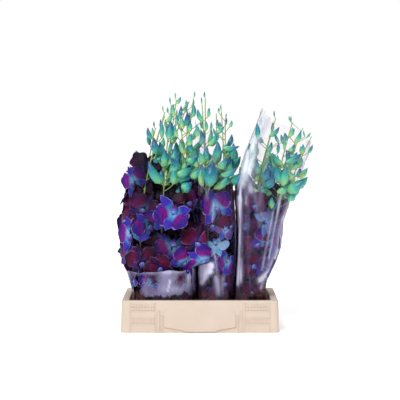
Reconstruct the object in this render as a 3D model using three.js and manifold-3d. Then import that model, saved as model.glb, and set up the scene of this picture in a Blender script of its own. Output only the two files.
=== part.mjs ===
// Cut dendrobium orchid sprays standing in a low moulded crate, in three bunches.
// Each bunch stands in its own clear film sleeve; the left one is pulled down to a short collar.
// Millimetres, +Z up. The origin is on the surface the crate stands on, under its centre,
// and the crate's long embossed side faces -Y.
import * as THREE from "three";
import { mergeVertices } from "three/addons/utils/BufferGeometryUtils.js";
import Module from "manifold-3d";

const wasm = await Module();
wasm.setup();

// Crate
const CRATE_LENGTH = 285;
const CRATE_DEPTH = 225;
const CRATE_HEIGHT = 57.5;
const CRATE_CORNER = 9;
const CORNER_STEPS = 3;
const SKIRT_DRAFT = 2;
const RIM_WIDTH = 13;
const RIM_THICK = 2.6;
const WALL = 2.6;
const FLOOR = 3;
const TUB_DRAFT = 2;
const RIB_PROUD = 1.2;
const BAR_PROUD = 0.7;

// Stems, flowers and buds
const STEM_RADIUS = 2.1;
const STEM_TIP_RADIUS = 0.9;
const STEM_RINGS = 10;
const STEM_SIDES = 4;
const PEDICEL_RADIUS = 1.1;
const BELLY_HEIGHT = 170;
const FOOT_GAP = 0.8;
const BLOOM_RADIUS = 37.5;
const BLOOM_CORE = 3;
const BLOOM_REACH = 29;
const BLOOM_RISE = 9;
const BLOOM_PITCH = 28;
const BLOOM_SPREAD = 40;
const SLEEVED_SIZE = 0.78;
const BUD_LONG = 38;
const BUD_SHORT = 12;
const BUD_START = 30;
const BUD_LOWEST = 232;
const BUD_PLUMP = 0.26;
const BUD_SIDES = 4;
const PEDICEL_SIDES = 3;

// Film sleeves. A cross-section is a height, the middle's x, half its width and half its depth.
// The mouth is cut aslant: it stands at top + slant on the +X side and at top - slant on the other.
const FILM = 0.8;
const SLEEVE_SIDES = 18;
const SLEEVE_POWER = 2.6;
const SLEEVES = {
  left: {
    sections: [[26, -66, 50, 74], [60, -66, 56, 86], [112, -74, 64, 94]],
    top: 109,
    slant: 3,
  },
  middle: {
    sections: [[26, 28, 28, 58], [60, 28, 33, 76], [110, 29, 35.5, 88], [190, 29.5, 35.5, 92],
      [250, 24, 33, 86], [390, 24, 36, 62]],
    top: 332,
    slant: -50,
  },
  right: {
    sections: [[26, 93, 26, 50], [82, 94.5, 28.5, 74], [121, 104, 37.5, 88], [147, 109, 42, 91],
      [194, 112, 43.5, 91], [259, 120, 58, 84], [320, 142, 63, 72], [400, 165, 54, 56]],
    top: 372,
    slant: -30,
  },
};

// Sprays: where the cut end stands, where the stem is at BELLY_HEIGHT, where it ends,
// the way its flowers mostly face in degrees, its first bloom's height, and its blooms and buds.
const spray = (name, foot, belly, tip, face, first, blooms, buds) =>
  ({ name, bunch: name.split("_")[0], foot, belly, tip, face, first, blooms, buds });
const SPRAYS = [
  spray("left_spray_1", [-90, -34], [-108, -56], [-64, -48, 388], -124, 64, 7, 10),
  spray("left_spray_2", [-72, -40], [-70, -62], [-52, -50, 408], -98, 74, 6, 11),
  spray("left_spray_3", [-46, -38], [-32, -60], [-36, -40, 398], -82, 62, 7, 11),
  spray("middle_spray_1", [18, -32], [14, -52], [4, -48, 408], -100, 64, 6, 11),
  spray("middle_spray_2", [38, -32], [44, -50], [46, -38, 380], -76, 76, 6, 11),
  spray("right_spray_1", [86, -26], [94, -50], [134, -40, 372], -100, 64, 6, 9),
  spray("right_spray_2", [104, -26], [126, -46], [188, -34, 366], -72, 74, 6, 9),
  spray("left_spray_4", [-98, 0], [-108, -4], [-82, -8, 366], -172, 66, 7, 8),
  spray("left_spray_5", [-76, -6], [-84, -18], [-20, -20, 414], -100, 120, 4, 10),
  spray("left_spray_6", [-48, 0], [-38, -12], [-12, -2, 420], -84, 110, 4, 10),
  spray("middle_spray_3", [28, 0], [32, -6], [30, -10, 392], -70, 110, 4, 10),
  spray("right_spray_3", [80, 0], [92, -6], [112, 2, 396], 178, 110, 4, 9),
  spray("right_spray_4", [108, 2], [136, 0], [206, -4, 350], 4, 76, 6, 8),
  spray("left_spray_7", [-90, 34], [-104, 54], [-66, 40, 395], 122, 64, 6, 8),
  spray("left_spray_8", [-70, 40], [-70, 62], [-44, 44, 418], 96, 76, 5, 8),
  spray("left_spray_9", [-46, 38], [-32, 60], [-24, 42, 404], 82, 64, 7, 8),
  spray("middle_spray_4", [18, 32], [12, 54], [10, 44, 420], 100, 66, 6, 8),
  spray("middle_spray_5", [38, 32], [46, 52], [40, 38, 396], 76, 78, 6, 8),
  spray("right_spray_5", [86, 26], [94, 48], [142, 36, 384], 100, 66, 6, 8),
  spray("right_spray_6", [104, 26], [126, 44], [172, 30, 374], 72, 76, 6, 8),
];

// Flowers set by hand where they show most: spray, centre, facing, tilt up and roll in degrees.
const SET_BLOOMS = [
  ["left_spray_3", [-50, -86, 210], -92, 8, 152],
  ["left_spray_1", [-122, -74, 182], -118, 2, 20],
  ["left_spray_2", [-47, -90, 152], -84, -6, -30],
  ["left_spray_1", [-108, -68, 292], -140, 14, 40],
  ["left_spray_2", [-98, -82, 246], -104, 12, -60],
  ["middle_spray_1", [28, -82, 190], -88, 6, 10],
  ["middle_spray_1", [27, -80, 136], -96, -6, 80],
  ["middle_spray_2", [30, -74, 84], -84, 0, -20],
  ["middle_spray_2", [28, -72, 238], -80, 12, 200],
  ["right_spray_1", [94, -68, 88], -98, 4, 30],
  ["right_spray_2", [112, -80, 146], -84, 4, 120],
  ["right_spray_1", [110, -78, 198], -92, 14, -40],
];

// What a flower or bud tries, in this order, until it is clear of everything else.
const SHRINKS = [1, 0.9, 0.8, 0.7];
const LIFTS = [0, 9, -9];
const LOOKS = [[0, 0], [30, 0], [-30, 0], [0, 30], [0, -30], [60, 0], [-60, 0]];
const TURNS = [0, 18, -18, 36, -36, 54, -54];

const rad = (degrees) => (degrees * Math.PI) / 180;
const mix = (a, b, t) => a + (b - a) * t;
const vector = (x, y, z) => new THREE.Vector3(x, y, z);

// A repeatable random number from 0 to 1 for each call.
function seeded(seed) {
  let state = seed >>> 0;
  return () => {
    state = (Math.imul(state, 1664525) + 1013904223) >>> 0;
    return state / 4294967296;
  };
}

function towards(azimuth, elevation) {
  const flat = Math.cos(rad(elevation));
  return vector(flat * Math.cos(rad(azimuth)), flat * Math.sin(rad(azimuth)), Math.sin(rad(elevation)));
}

// A stem runs through its foot, belly and tip on one parabola over its height.
function stemAt(spray, z) {
  const low = FLOOR + FOOT_GAP;
  const high = spray.tip[2];
  const a = ((z - BELLY_HEIGHT) * (z - high)) / ((low - BELLY_HEIGHT) * (low - high));
  const b = ((z - low) * (z - high)) / ((BELLY_HEIGHT - low) * (BELLY_HEIGHT - high));
  const c = ((z - low) * (z - BELLY_HEIGHT)) / ((high - low) * (high - BELLY_HEIGHT));
  return vector(
    a * spray.foot[0] + b * spray.belly[0] + c * spray.tip[0],
    a * spray.foot[1] + b * spray.belly[1] + c * spray.tip[1],
    z,
  );
}

// The cross-section of a sleeve at height z: the middle's x and the two half widths.
function sectionAt(sleeve, z) {
  const rows = sleeve.sections;
  let i = 0;
  while (i < rows.length - 2 && z > rows[i + 1][0]) i += 1;
  const t = Math.min(Math.max((z - rows[i][0]) / (rows[i + 1][0] - rows[i][0]), 0), 1);
  return [1, 2, 3].map((k) => mix(rows[i][k], rows[i + 1][k], t));
}

// Under 1 inside the sleeve's outline, over 1 outside it, with the outline grown by margin.
function sleeveShare(sleeve, p, margin) {
  const [middle, halfX, halfY] = sectionAt(sleeve, p.z);
  return (
    Math.abs((p.x - middle) / (halfX + margin)) ** SLEEVE_POWER +
    Math.abs(p.y / (halfY + margin)) ** SLEEVE_POWER
  );
}

function sleeveTop(sleeve, p) {
  const [middle, halfX] = sectionAt(sleeve, p.z);
  return sleeve.top + sleeve.slant * Math.min(Math.max((p.x - middle) / halfX, -1), 1);
}

// A flower's lobes. Each has its direction, its size, half of its outline, and how wide and far
// it reaches. An outline row is a share of the radius, degrees off the lobe's middle and a height.
const SEPAL = { half: [[0.55, 18, -1], [1, 0, -5]], wide: 24, reach: 1 };
const PETAL = { half: [[0.55, 40, 2], [0.95, 20, -1]], wide: 45, reach: 1 };
const LIP = { half: [[0.45, 18, 8]], wide: 24, reach: 0.5 };
const LOBES = [
  { at: 15, kind: PETAL, size: 1 },
  { at: 90, kind: SEPAL, size: 0.98 },
  { at: 165, kind: PETAL, size: 1 },
  { at: 235, kind: SEPAL, size: 0.92 },
  { at: 270, kind: LIP, size: 1 },
  { at: 305, kind: SEPAL, size: 0.92 },
];
const NOTCH = 0.17;

// Outline points of a bloom in its own frame, counterclockwise seen from the front.
function bloomOutline(radius) {
  const points = [];
  LOBES.forEach((lobe, i) => {
    const put = ([share, off, height], side) => {
      const angle = rad(lobe.at + side * off);
      const r = share * lobe.size * radius;
      points.push(vector(r * Math.cos(angle), r * Math.sin(angle), height));
    };
    lobe.kind.half.forEach((row) => put(row, -1));
    lobe.kind.half.slice().reverse().forEach((row) => row[1] && put(row, 1));
    const next = i < LOBES.length - 1 ? LOBES[i + 1].at : LOBES[0].at + 360;
    const gap = rad((lobe.at + next) / 2);
    points.push(vector(NOTCH * radius * Math.cos(gap), NOTCH * radius * Math.sin(gap), 0));
  });
  return points;
}

// The flower's own axes in space: z towards the viewer, y towards the upper sepal.
function flowerFrame(bloom) {
  const z = towards(bloom.azimuth, bloom.elevation);
  const x = vector(0, 0, 1).cross(z).normalize();
  const y = z.clone().cross(x);
  return new THREE.Matrix4()
    .makeBasis(x, y, z)
    .multiply(new THREE.Matrix4().makeRotationZ(rad(bloom.roll)))
    .setPosition(bloom.centre);
}

// How far the flower reaches from its middle in one direction of its own plane.
function reachAt(bloom, angle) {
  let reach = NOTCH + 0.1;
  LOBES.forEach((lobe) => {
    const off = Math.abs(((angle - lobe.at + 540) % 360) - 180);
    if (off < lobe.kind.wide) reach = Math.max(reach, lobe.kind.reach * lobe.size);
  });
  return reach * bloom.radius;
}

// True if a point comes closer to the flower than gap.
const DISC_HALF = 3.2;
function inBloom(bloom, p, gap) {
  if (p.distanceTo(bloom.centre) > bloom.radius + gap) return false;
  const local = p.clone().applyMatrix4(bloom.inverse);
  if (Math.abs(local.z + 1) > DISC_HALF + gap) return false;
  const angle = (Math.atan2(local.y, local.x) * 180) / Math.PI;
  return Math.hypot(local.x, local.y) < reachAt(bloom, angle) + gap;
}

// A flower made ready for the tests: its axes, and balls all over it and along its pedicel.
function readyBloom(bloom) {
  const frame = flowerFrame(bloom);
  const points = bloomOutline(bloom.radius);
  LOBES.forEach((lobe) => {
    const along = 0.5 * bloom.radius * lobe.kind.reach;
    points.push(vector(along * Math.cos(rad(lobe.at)), along * Math.sin(rad(lobe.at)), 0));
  });
  points.push(vector(0, 0, 0));
  bloom.inverse = frame.clone().invert();
  bloom.elbow = bloom.root.clone().lerp(bloom.centre, 0.6).add(vector(0, 0, -2));
  bloom.balls = points.map((p) => ({ at: p.applyMatrix4(frame), around: 0.5 }));
  bloom.balls.push(...stalkBalls(bloom.root, bloom.elbow));
  return bloom;
}

function stalkBalls(root, end) {
  return [0.4, 0.7, 1].map((t) => ({ at: root.clone().lerp(end, t), around: PEDICEL_RADIUS }));
}

const organs = [];
const OTHER_GAP = 1.6;
const OWN_GAP = 0.4;
const FILM_GAP = 3.2;
const CRATE_GAP = 4.5;
const STEM_STEP = 6;

function clearOfHolders({ at, around }, spray) {
  if (at.z < CRATE_HEIGHT + around + CRATE_GAP) {
    const inset = SKIRT_DRAFT + RIM_WIDTH + TUB_DRAFT + CRATE_GAP + around;
    if (Math.abs(at.x) > CRATE_LENGTH / 2 - inset) return false;
    if (Math.abs(at.y) > CRATE_DEPTH / 2 - inset) return false;
    if (at.z < FLOOR + CRATE_GAP + around) return false;
  }
  return Object.entries(SLEEVES).every(([bunch, sleeve]) => {
    if (at.z > sleeveTop(sleeve, at) + FILM_GAP + around) return true;
    if (at.z < sleeve.sections[0][0] - FILM_GAP - around) return true;
    if (bunch === spray.bunch) return sleeveShare(sleeve, at, -FILM_GAP - FILM - around) < 1;
    return sleeveShare(sleeve, at, FILM_GAP + around) > 1;
  });
}

// No ball of a flower or bud may touch another spray's stem, and no stem may pierce a flower.
function clearOfStems(organ, spray) {
  return SPRAYS.every((other) => {
    const apart = STEM_RADIUS + OTHER_GAP;
    const crossed = other !== spray && organ.balls.some(({ at, around }) => {
      if (at.z > other.tip[2] + apart) return false;
      const stem = stemAt(other, at.z);
      return Math.hypot(stem.x - at.x, stem.y - at.y) < apart + around;
    });
    if (crossed) return false;
    if (!organ.inverse) return true;
    for (let z = organ.centre.z - BLOOM_RADIUS; z < organ.centre.z + BLOOM_RADIUS; z += STEM_STEP)
      if (z < other.tip[2] && inBloom(organ, stemAt(other, z), STEM_RADIUS + OWN_GAP)) return false;
    return true;
  });
}

function clearOfOrgan(organ, other, gap) {
  if (organ.inverse && other.balls.some((ball) => inBloom(organ, ball.at, gap + ball.around))) return false;
  if (other.inverse && organ.balls.some((ball) => inBloom(other, ball.at, gap + ball.around))) return false;
  if (organ.inverse && other.inverse) return true;
  const apart = (p, q) => p.at.distanceTo(q.at) > gap + p.around + q.around;
  return organ.balls.every((p) => other.balls.every((q) => apart(p, q)));
}

function tryPlaces(spray, make) {
  for (const shrink of SHRINKS) {
    for (const lift of LIFTS) {
      for (const look of LOOKS) {
        for (const turn of TURNS) {
          const organ = make(turn, shrink, lift, look);
          organ.spray = spray;
          if (!organ.balls.every((ball) => clearOfHolders(ball, spray))) continue;
          if (!clearOfStems(organ, spray)) continue;
          const gapTo = (other) => (other.spray === spray ? OWN_GAP : OTHER_GAP);
          if (!organs.every((other) => clearOfOrgan(organ, other, gapTo(other)))) continue;
          organs.push(organ);
          return organ;
        }
      }
    }
  }
  return null;
}

function placeSetBloom([name, at, azimuth, elevation, roll]) {
  const spray = SPRAYS.find((one) => one.name === name);
  return tryPlaces(spray, (turn, shrink, lift) => {
    const centre = vector(at[0], at[1], at[2] + 0.5 * lift);
    const root = stemAt(spray, at[2] - BLOOM_RISE);
    const radius = BLOOM_RADIUS * shrink * (spray.bunch === "left" ? 1 : SLEEVED_SIZE);
    return readyBloom({ root, centre, azimuth: azimuth + 0.5 * turn, elevation, roll, radius });
  });
}

// A bloom's place: its pedicel reaches out and up from the stem, to one side and the other by turns.
function placeBloom(spray, k, rand) {
  const [a, b, c, d] = [rand() - 0.5, rand() - 0.5, rand() - 0.5, rand() - 0.5];
  const side = k % 2 ? 1 : -1;
  const z = spray.first + k * BLOOM_PITCH + 8 * a;
  const squeeze = spray.bunch === "left" ? 1 : SLEEVED_SIZE;
  return tryPlaces(spray, (turn, shrink, lift, look) => {
    const root = stemAt(spray, z + lift);
    const out = spray.face + side * (BLOOM_SPREAD + 24 * b) + turn;
    const reach = towards(out, 0).multiplyScalar(BLOOM_REACH * (1 + 0.3 * c) * squeeze * shrink);
    return readyBloom({
      root,
      centre: root.clone().add(reach).add(vector(0, 0, BLOOM_RISE)),
      azimuth: mix(out, spray.face, 0.3) + 24 * c + look[0],
      elevation: 12 + 14 * d + look[1],
      roll: 70 * b,
      radius: BLOOM_RADIUS * (0.95 + 0.1 * a) * squeeze * shrink,
    });
  });
}

// A bud's place: large and spreading low down, small and steep near the tip.
function placeBud(spray, j, rand) {
  const [a, b, c] = [rand() - 0.5, rand() - 0.5, rand() - 0.5];
  const low = Math.max(spray.first + (spray.blooms - 1) * BLOOM_PITCH + BUD_START, BUD_LOWEST);
  const last = j === spray.buds - 1;
  const t = last ? 1 : j / (spray.buds - 0.5);
  const z = mix(low, spray.tip[2] - 4, t);
  const side = j % 2 ? 1 : -1;
  const length = mix(BUD_LONG, BUD_SHORT, t ** 1.2) * (1 + 0.2 * a);
  return tryPlaces(spray, (turn, shrink, lift) => {
    const root = stemAt(spray, Math.min(last ? z : z + lift, spray.tip[2] - 4));
    const out = spray.face + side * (64 + 70 * b) + turn;
    const rise = mix(14, 50, t) + 24 * c + (last ? 24 : 0);
    const neck = root.clone().addScaledVector(towards(out, rise), mix(15, 6, t));
    const way = towards(out, Math.min(rise + 24, 84));
    const bud = { root, neck, way, length: length * shrink };
    const ball = ([share, width]) =>
      ({ at: neck.clone().addScaledVector(way, share * bud.length), around: width * bud.length });
    bud.balls = [...[[0.2, 0.17], [0.5, 0.21], [0.8, 0.1]].map(ball), ...stalkBalls(root, neck)];
    return bud;
  });
}

// Set flowers come first, then every spray's lowest bloom, and so on up; buds come last.
SET_BLOOMS.forEach(placeSetBloom);
const randoms = SPRAYS.map((_, i) => seeded(4211 + 977 * i));
const most = (key) => Math.max(...SPRAYS.map((one) => one[key]));
for (let k = 0; k < most("blooms"); k += 1)
  SPRAYS.forEach((one, i) => k < one.blooms && placeBloom(one, k, randoms[i]));
for (let j = 0; j < most("buds"); j += 1)
  SPRAYS.forEach((one, i) => j < one.buds && placeBud(one, j, randoms[i]));

// A closed geometry as a solid, and a solid as a geometry.
function solidOf(geometry) {
  const bare = geometry.clone();
  bare.deleteAttribute("normal");
  bare.deleteAttribute("uv");
  const merged = mergeVertices(bare, 1e-4);
  const kept = [];
  for (let i = 0; i < merged.index.count; i += 3) {
    const [a, b, c] = [0, 1, 2].map((k) => merged.index.getX(i + k));
    if (a !== b && b !== c && c !== a) kept.push(a, b, c);
  }
  return new wasm.Manifold(new wasm.Mesh({
    numProp: 3,
    vertProperties: merged.attributes.position.array,
    triVerts: new Uint32Array(kept),
  }));
}

function geometryOf(solid) {
  const mesh = solid.getMesh();
  const made = new THREE.BufferGeometry();
  const stride = mesh.numProp;
  const corners = new Float32Array(mesh.numVert * 3);
  for (let i = 0; i < mesh.numVert; i += 1)
    corners.set(mesh.vertProperties.subarray(i * stride, i * stride + 3), i * 3);
  made.setAttribute("position", new THREE.BufferAttribute(corners, 3));
  made.setIndex(new THREE.BufferAttribute(mesh.triVerts, 1));
  made.computeVertexNormals();
  return made;
}

// A rod through a row of centres, with a radius at each; it closes where the radius is 0.
function rod(centres, radii, sides) {
  const geometry = new THREE.CylinderGeometry(1, 1, 1, sides, centres.length - 1, true);
  const position = geometry.attributes.position;
  const overall = centres[centres.length - 1].clone().sub(centres[0]).normalize();
  const help = Math.abs(overall.z) > 0.8 ? vector(1, 0, 0) : vector(0, 0, 1);
  for (let i = 0; i < position.count; i += 1) {
    const row = Math.round((position.getY(i) + 0.5) * (centres.length - 1));
    const before = centres[Math.max(row - 1, 0)];
    const after = centres[Math.min(row + 1, centres.length - 1)];
    const tangent = after.clone().sub(before).normalize();
    const across = help.clone().addScaledVector(tangent, -help.dot(tangent)).normalize();
    const other = tangent.clone().cross(across);
    const p = centres[row].clone()
      .addScaledVector(across, radii[row] * position.getZ(i))
      .addScaledVector(other, radii[row] * position.getX(i));
    position.setXYZ(i, p.x, p.y, p.z);
  }
  return solidOf(geometry);
}

function stemSolid(one) {
  const foot = FLOOR + FOOT_GAP;
  const centres = [];
  const radii = [];
  for (let i = 0; i < STEM_RINGS; i += 1) {
    const t = i / (STEM_RINGS - 1);
    centres.push(stemAt(one, mix(foot, one.tip[2], t)));
    radii.push(mix(STEM_RADIUS, STEM_TIP_RADIUS, t));
  }
  return rod([centres[0], ...centres, centres[STEM_RINGS - 1]], [0, ...radii, 0], STEM_SIDES);
}

// A bloom is a thin star-shaped lens, one outline with a front and a back peak, on its pedicel.
function bloomSolid(bloom) {
  const outline = bloomOutline(bloom.radius);
  const front = outline.length;
  const faces = [];
  outline.forEach((_, i) => {
    const j = (i + 1) % front;
    faces.push(i, j, front, j, i, front + 1);
  });
  const corners = [...outline, vector(0, 0, BLOOM_CORE), vector(0, 0, -BLOOM_CORE)];
  const geometry = new THREE.BufferGeometry().setFromPoints(corners);
  geometry.setIndex(faces);
  geometry.applyMatrix4(flowerFrame(bloom));
  const pedicel = rod([bloom.root, bloom.root.clone().lerp(bloom.elbow, 0.2), bloom.elbow, bloom.centre],
    [0, PEDICEL_RADIUS, PEDICEL_RADIUS, 0], PEDICEL_SIDES);
  return solidOf(geometry).add(pedicel);
}

// A bud on its pedicel: a thin stalk that swells into a pointed spindle.
function budSolid(bud) {
  const along = (s) => bud.neck.clone().addScaledVector(bud.way, s * bud.length);
  const centres = [bud.root, along(0), along(0.35), along(0.7), along(1)];
  const radii = [0, PEDICEL_RADIUS, BUD_PLUMP * bud.length, 0.7 * BUD_PLUMP * bud.length, 0];
  return rod(centres, radii, BUD_SIDES);
}

// A drafted prism with rounded corners, its sides growing outward by growth from low to high.
function roundedBlock(length, depth, corner, low, high, growth) {
  const shape = new THREE.Shape();
  const x = length / 2 - corner;
  const y = depth / 2 - corner;
  shape.absarc(x, y, corner, 0, Math.PI / 2);
  shape.absarc(-x, y, corner, Math.PI / 2, Math.PI);
  shape.absarc(-x, -y, corner, Math.PI, 1.5 * Math.PI);
  shape.absarc(x, -y, corner, 1.5 * Math.PI, 2 * Math.PI);
  const options = { depth: high - low, bevelEnabled: false, curveSegments: CORNER_STEPS };
  const geometry = new THREE.ExtrudeGeometry(shape, options);
  const position = geometry.attributes.position;
  for (let i = 0; i < position.count; i += 1) {
    const spread = (growth * position.getZ(i)) / (high - low);
    const px = position.getX(i);
    const py = position.getY(i);
    position.setXYZ(i, px + Math.sign(px) * spread, py + Math.sign(py) * spread, position.getZ(i) + low);
  }
  return solidOf(geometry);
}

// A raised shape on the skirt of one long side: points in x and height, proud of the sloping skirt.
// Turned half round for the far side, so both long sides look alike.
function raised(points, proud, far) {
  const shape = new THREE.Shape(points.map(([x, z]) => new THREE.Vector2(x, z)));
  const geometry = new THREE.ExtrudeGeometry(shape, { depth: 1, bevelEnabled: false });
  const position = geometry.attributes.position;
  for (let i = 0; i < position.count; i += 1) {
    const [x, z] = [position.getX(i), position.getY(i)];
    const skirt = CRATE_DEPTH / 2 - (SKIRT_DRAFT * z) / CRATE_HEIGHT;
    const out = position.getZ(i) > 0.5 ? skirt + proud(z) : skirt - WALL / 2;
    position.setXYZ(i, far ? -x : x, far ? out : -out, z);
  }
  return solidOf(geometry);
}

const GRIP = { half: 64, flat: 27, low: 0.6, step: 3, side: 9, top: 50, chamfer: 12, proud: 3 };
function grip(far) {
  const g = GRIP;
  const right = [[g.flat, g.low], [g.flat + 3, g.step], [g.half, g.side], [g.half, g.top - g.chamfer],
    [g.half - g.chamfer, g.top]];
  const left = right.map(([x, z]) => [-x, z]).reverse();
  return raised([...right, ...left], (z) => 0.3 + g.proud * (1 - z / g.top), far);
}

function crate() {
  const rim = RIM_WIDTH + SKIRT_DRAFT + TUB_DRAFT;
  const inLength = CRATE_LENGTH - 2 * rim;
  const inDepth = CRATE_DEPTH - 2 * rim;
  const outer = roundedBlock(CRATE_LENGTH, CRATE_DEPTH, CRATE_CORNER, 0, CRATE_HEIGHT, -SKIRT_DRAFT);
  const inner = roundedBlock(CRATE_LENGTH - 2 * WALL, CRATE_DEPTH - 2 * WALL, CRATE_CORNER - WALL, -1,
    CRATE_HEIGHT - RIM_THICK, -SKIRT_DRAFT);
  const cavity = roundedBlock(inLength, inDepth, CRATE_CORNER - WALL, FLOOR, CRATE_HEIGHT + 1, TUB_DRAFT);
  const tub = roundedBlock(inLength + 2 * WALL, inDepth + 2 * WALL, CRATE_CORNER, -2, CRATE_HEIGHT,
    TUB_DRAFT);
  let body = outer.subtract(inner.subtract(tub)).subtract(cavity);
  for (const far of [false, true]) {
    const parts = [grip(far)];
    for (const side of [-1, 1]) {
      const bar = (x, half, low, high, proud) => {
        const near = side * (x - half);
        const away = side * (x + half);
        const [a, b] = [Math.min(near, away), Math.max(near, away)];
        parts.push(raised([[a, low], [b, low], [b, high], [a, high]], () => proud, far));
      };
      bar(76, 1.4, 0.2, 39, RIB_PROUD);
      bar(69, 1.2, 0.2, 30, RIB_PROUD);
      for (const z of [13.4, 25, 37.4]) bar(100, 21, z, z + 1.6, BAR_PROUD);
    }
    parts.forEach((part) => {
      body = body.add(part);
    });
  }
  return body;
}

// A thin tube of film: an upright wall turned once round, then shaped by the sleeve's sections.
function sleeveSolid(sleeve) {
  const rings = sleeve.sections.length;
  const profile = [];
  for (let i = 0; i < rings; i += 1) profile.push(new THREE.Vector2(2, i));
  for (let i = rings - 1; i >= 0; i -= 1) profile.push(new THREE.Vector2(1, i));
  profile.push(profile[0].clone());
  const geometry = new THREE.LatheGeometry(profile, SLEEVE_SIDES);
  const position = geometry.attributes.position;
  for (let i = 0; i < position.count; i += 1) {
    const [x, ring, y] = [position.getX(i), position.getY(i), position.getZ(i)];
    const thick = Math.hypot(x, y) > 1.5 ? 0 : FILM;
    const angle = Math.atan2(y, x);
    const [c, s] = [Math.cos(angle), Math.sin(angle)];
    const z = ring < rings - 1 ? sleeve.sections[ring][0] : sleeve.top + sleeve.slant * c;
    const [middle, halfX, halfY] = sectionAt(sleeve, z);
    const px = Math.sign(c) * Math.abs(c) ** (2 / SLEEVE_POWER) * (halfX - thick);
    const py = Math.sign(s) * Math.abs(s) ** (2 / SLEEVE_POWER) * (halfY - thick);
    position.setXYZ(i, middle + px, -py, z);
  }
  return solidOf(geometry);
}

// A spray is one body: its stem with every bloom and bud that grew on it.
function spraySolid(one) {
  let body = stemSolid(one);
  organs.filter((organ) => organ.spray === one).forEach((organ) => {
    body = body.add(organ.inverse ? bloomSolid(organ) : budSolid(organ));
  });
  return body;
}

const MATERIALS = {
  crate: new THREE.MeshStandardMaterial({ color: 0xecd9c6, roughness: 0.5, metalness: 0 }),
  spray: new THREE.MeshStandardMaterial({ color: 0x4b2a9c, roughness: 0.55, metalness: 0 }),
  film: new THREE.MeshStandardMaterial({
    color: 0xdfe2f2,
    roughness: 0.2,
    metalness: 0,
    transparent: true,
    opacity: 0.35,
  }),
};

function piece(name, solid, material) {
  const mesh = new THREE.Mesh(geometryOf(solid), material);
  mesh.name = name;
  return mesh;
}

const model = new THREE.Group();
model.add(piece("crate", crate(), MATERIALS.crate));
for (const [bunch, sleeve] of Object.entries(SLEEVES))
  model.add(piece(`${bunch}_sleeve`, sleeveSolid(sleeve), MATERIALS.film));
for (const one of SPRAYS) model.add(piece(one.name, spraySolid(one), MATERIALS.spray));

export default model;
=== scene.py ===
# %% [markdown]
# # Cut dendrobium orchids in a moulded crate
#
# Three bunches of cut orchid sprays stand in a low cream crate. The flowers are dyed a deep
# blue-violet, and the buds above them are still green and teal. Each bunch stands in a sleeve of
# clear film, and the left one is pulled down to a short collar.
#
# The plain solids of all this come first, from the frame, in metres with Z up. This lesson dresses
# them: every step makes one finer piece in Blender, lays it where its solid stands, and gives it a
# material made of nodes.

# %% Load the frame
import math
import random

import bmesh
import bpy
import numpy as np
from mathutils import Matrix, Vector, noise


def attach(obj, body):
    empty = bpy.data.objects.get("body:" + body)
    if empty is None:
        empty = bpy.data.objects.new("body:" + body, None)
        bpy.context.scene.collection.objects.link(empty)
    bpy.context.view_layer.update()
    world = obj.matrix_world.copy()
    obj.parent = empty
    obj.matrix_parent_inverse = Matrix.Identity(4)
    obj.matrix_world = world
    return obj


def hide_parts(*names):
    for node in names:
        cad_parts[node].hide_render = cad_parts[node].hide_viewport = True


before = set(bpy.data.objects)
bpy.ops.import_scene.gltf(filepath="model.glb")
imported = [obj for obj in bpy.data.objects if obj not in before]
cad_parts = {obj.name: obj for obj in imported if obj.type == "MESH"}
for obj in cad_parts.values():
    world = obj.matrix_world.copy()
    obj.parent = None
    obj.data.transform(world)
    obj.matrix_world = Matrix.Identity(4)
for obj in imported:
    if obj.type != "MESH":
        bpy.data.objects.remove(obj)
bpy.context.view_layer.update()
MM = 0.001

# %% [markdown]
# ## The camera
#
# A camera far away with a long lens flattens a scene, as product photographs are. The crate's rim
# tells the height: its far edge shows just above the near one, so the camera is a little higher
# than the flowers' middle and looks three degrees down.

# %% Place the camera
CAMERA_AT = (0.0, -2.9125, 0.386)
CAMERA_DOWN = 3.02
LENS = 141.6
eye = bpy.data.cameras.new("camera")
eye.sensor_width = 36
eye.lens = LENS
camera = bpy.data.objects.new("camera", eye)
camera.location = CAMERA_AT
camera.rotation_euler = (math.radians(90 - CAMERA_DOWN), 0, 0)
bpy.context.collection.objects.link(camera)
bpy.context.scene.camera = camera
print("camera at", CAMERA_AT)

# %% [markdown]
# ## Shader maths in Python
#
# A material's pattern is a sum of simple things: a gradient, some noise, a mask. Adding each Math
# node by hand is slow to write and to read. So one small class wraps a node's output, and the
# signs +, - and * on it add the nodes. The other class is one material: it holds the main shader
# and has a single method that adds any kind of node.

# %% A socket that does maths, and a material that adds nodes
class Wire:
    """A node's output. Sums, differences and products of it add Math nodes."""

    def __init__(self, look, out):
        self.look = look
        self.out = out

    def maths(self, operation, first, second):
        return self.look.node("ShaderNodeMath", {"operation": operation}, {0: first, 1: second})

    def __add__(self, other):
        return self.maths("ADD", self, other)

    def __radd__(self, other):
        return self.maths("ADD", other, self)

    def __sub__(self, other):
        return self.maths("SUBTRACT", self, other)

    def __rsub__(self, other):
        return self.maths("SUBTRACT", other, self)

    def __mul__(self, other):
        return self.maths("MULTIPLY", self, other)

    def __rmul__(self, other):
        return self.maths("MULTIPLY", other, self)

    def between(self, low, high):
        """0 below low and 1 above high, with a smooth change between."""
        return self.look.node(
            "ShaderNodeMapRange",
            {"interpolation_type": "SMOOTHSTEP"},
            {"Value": self, "From Min": low, "From Max": high},
        )


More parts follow.
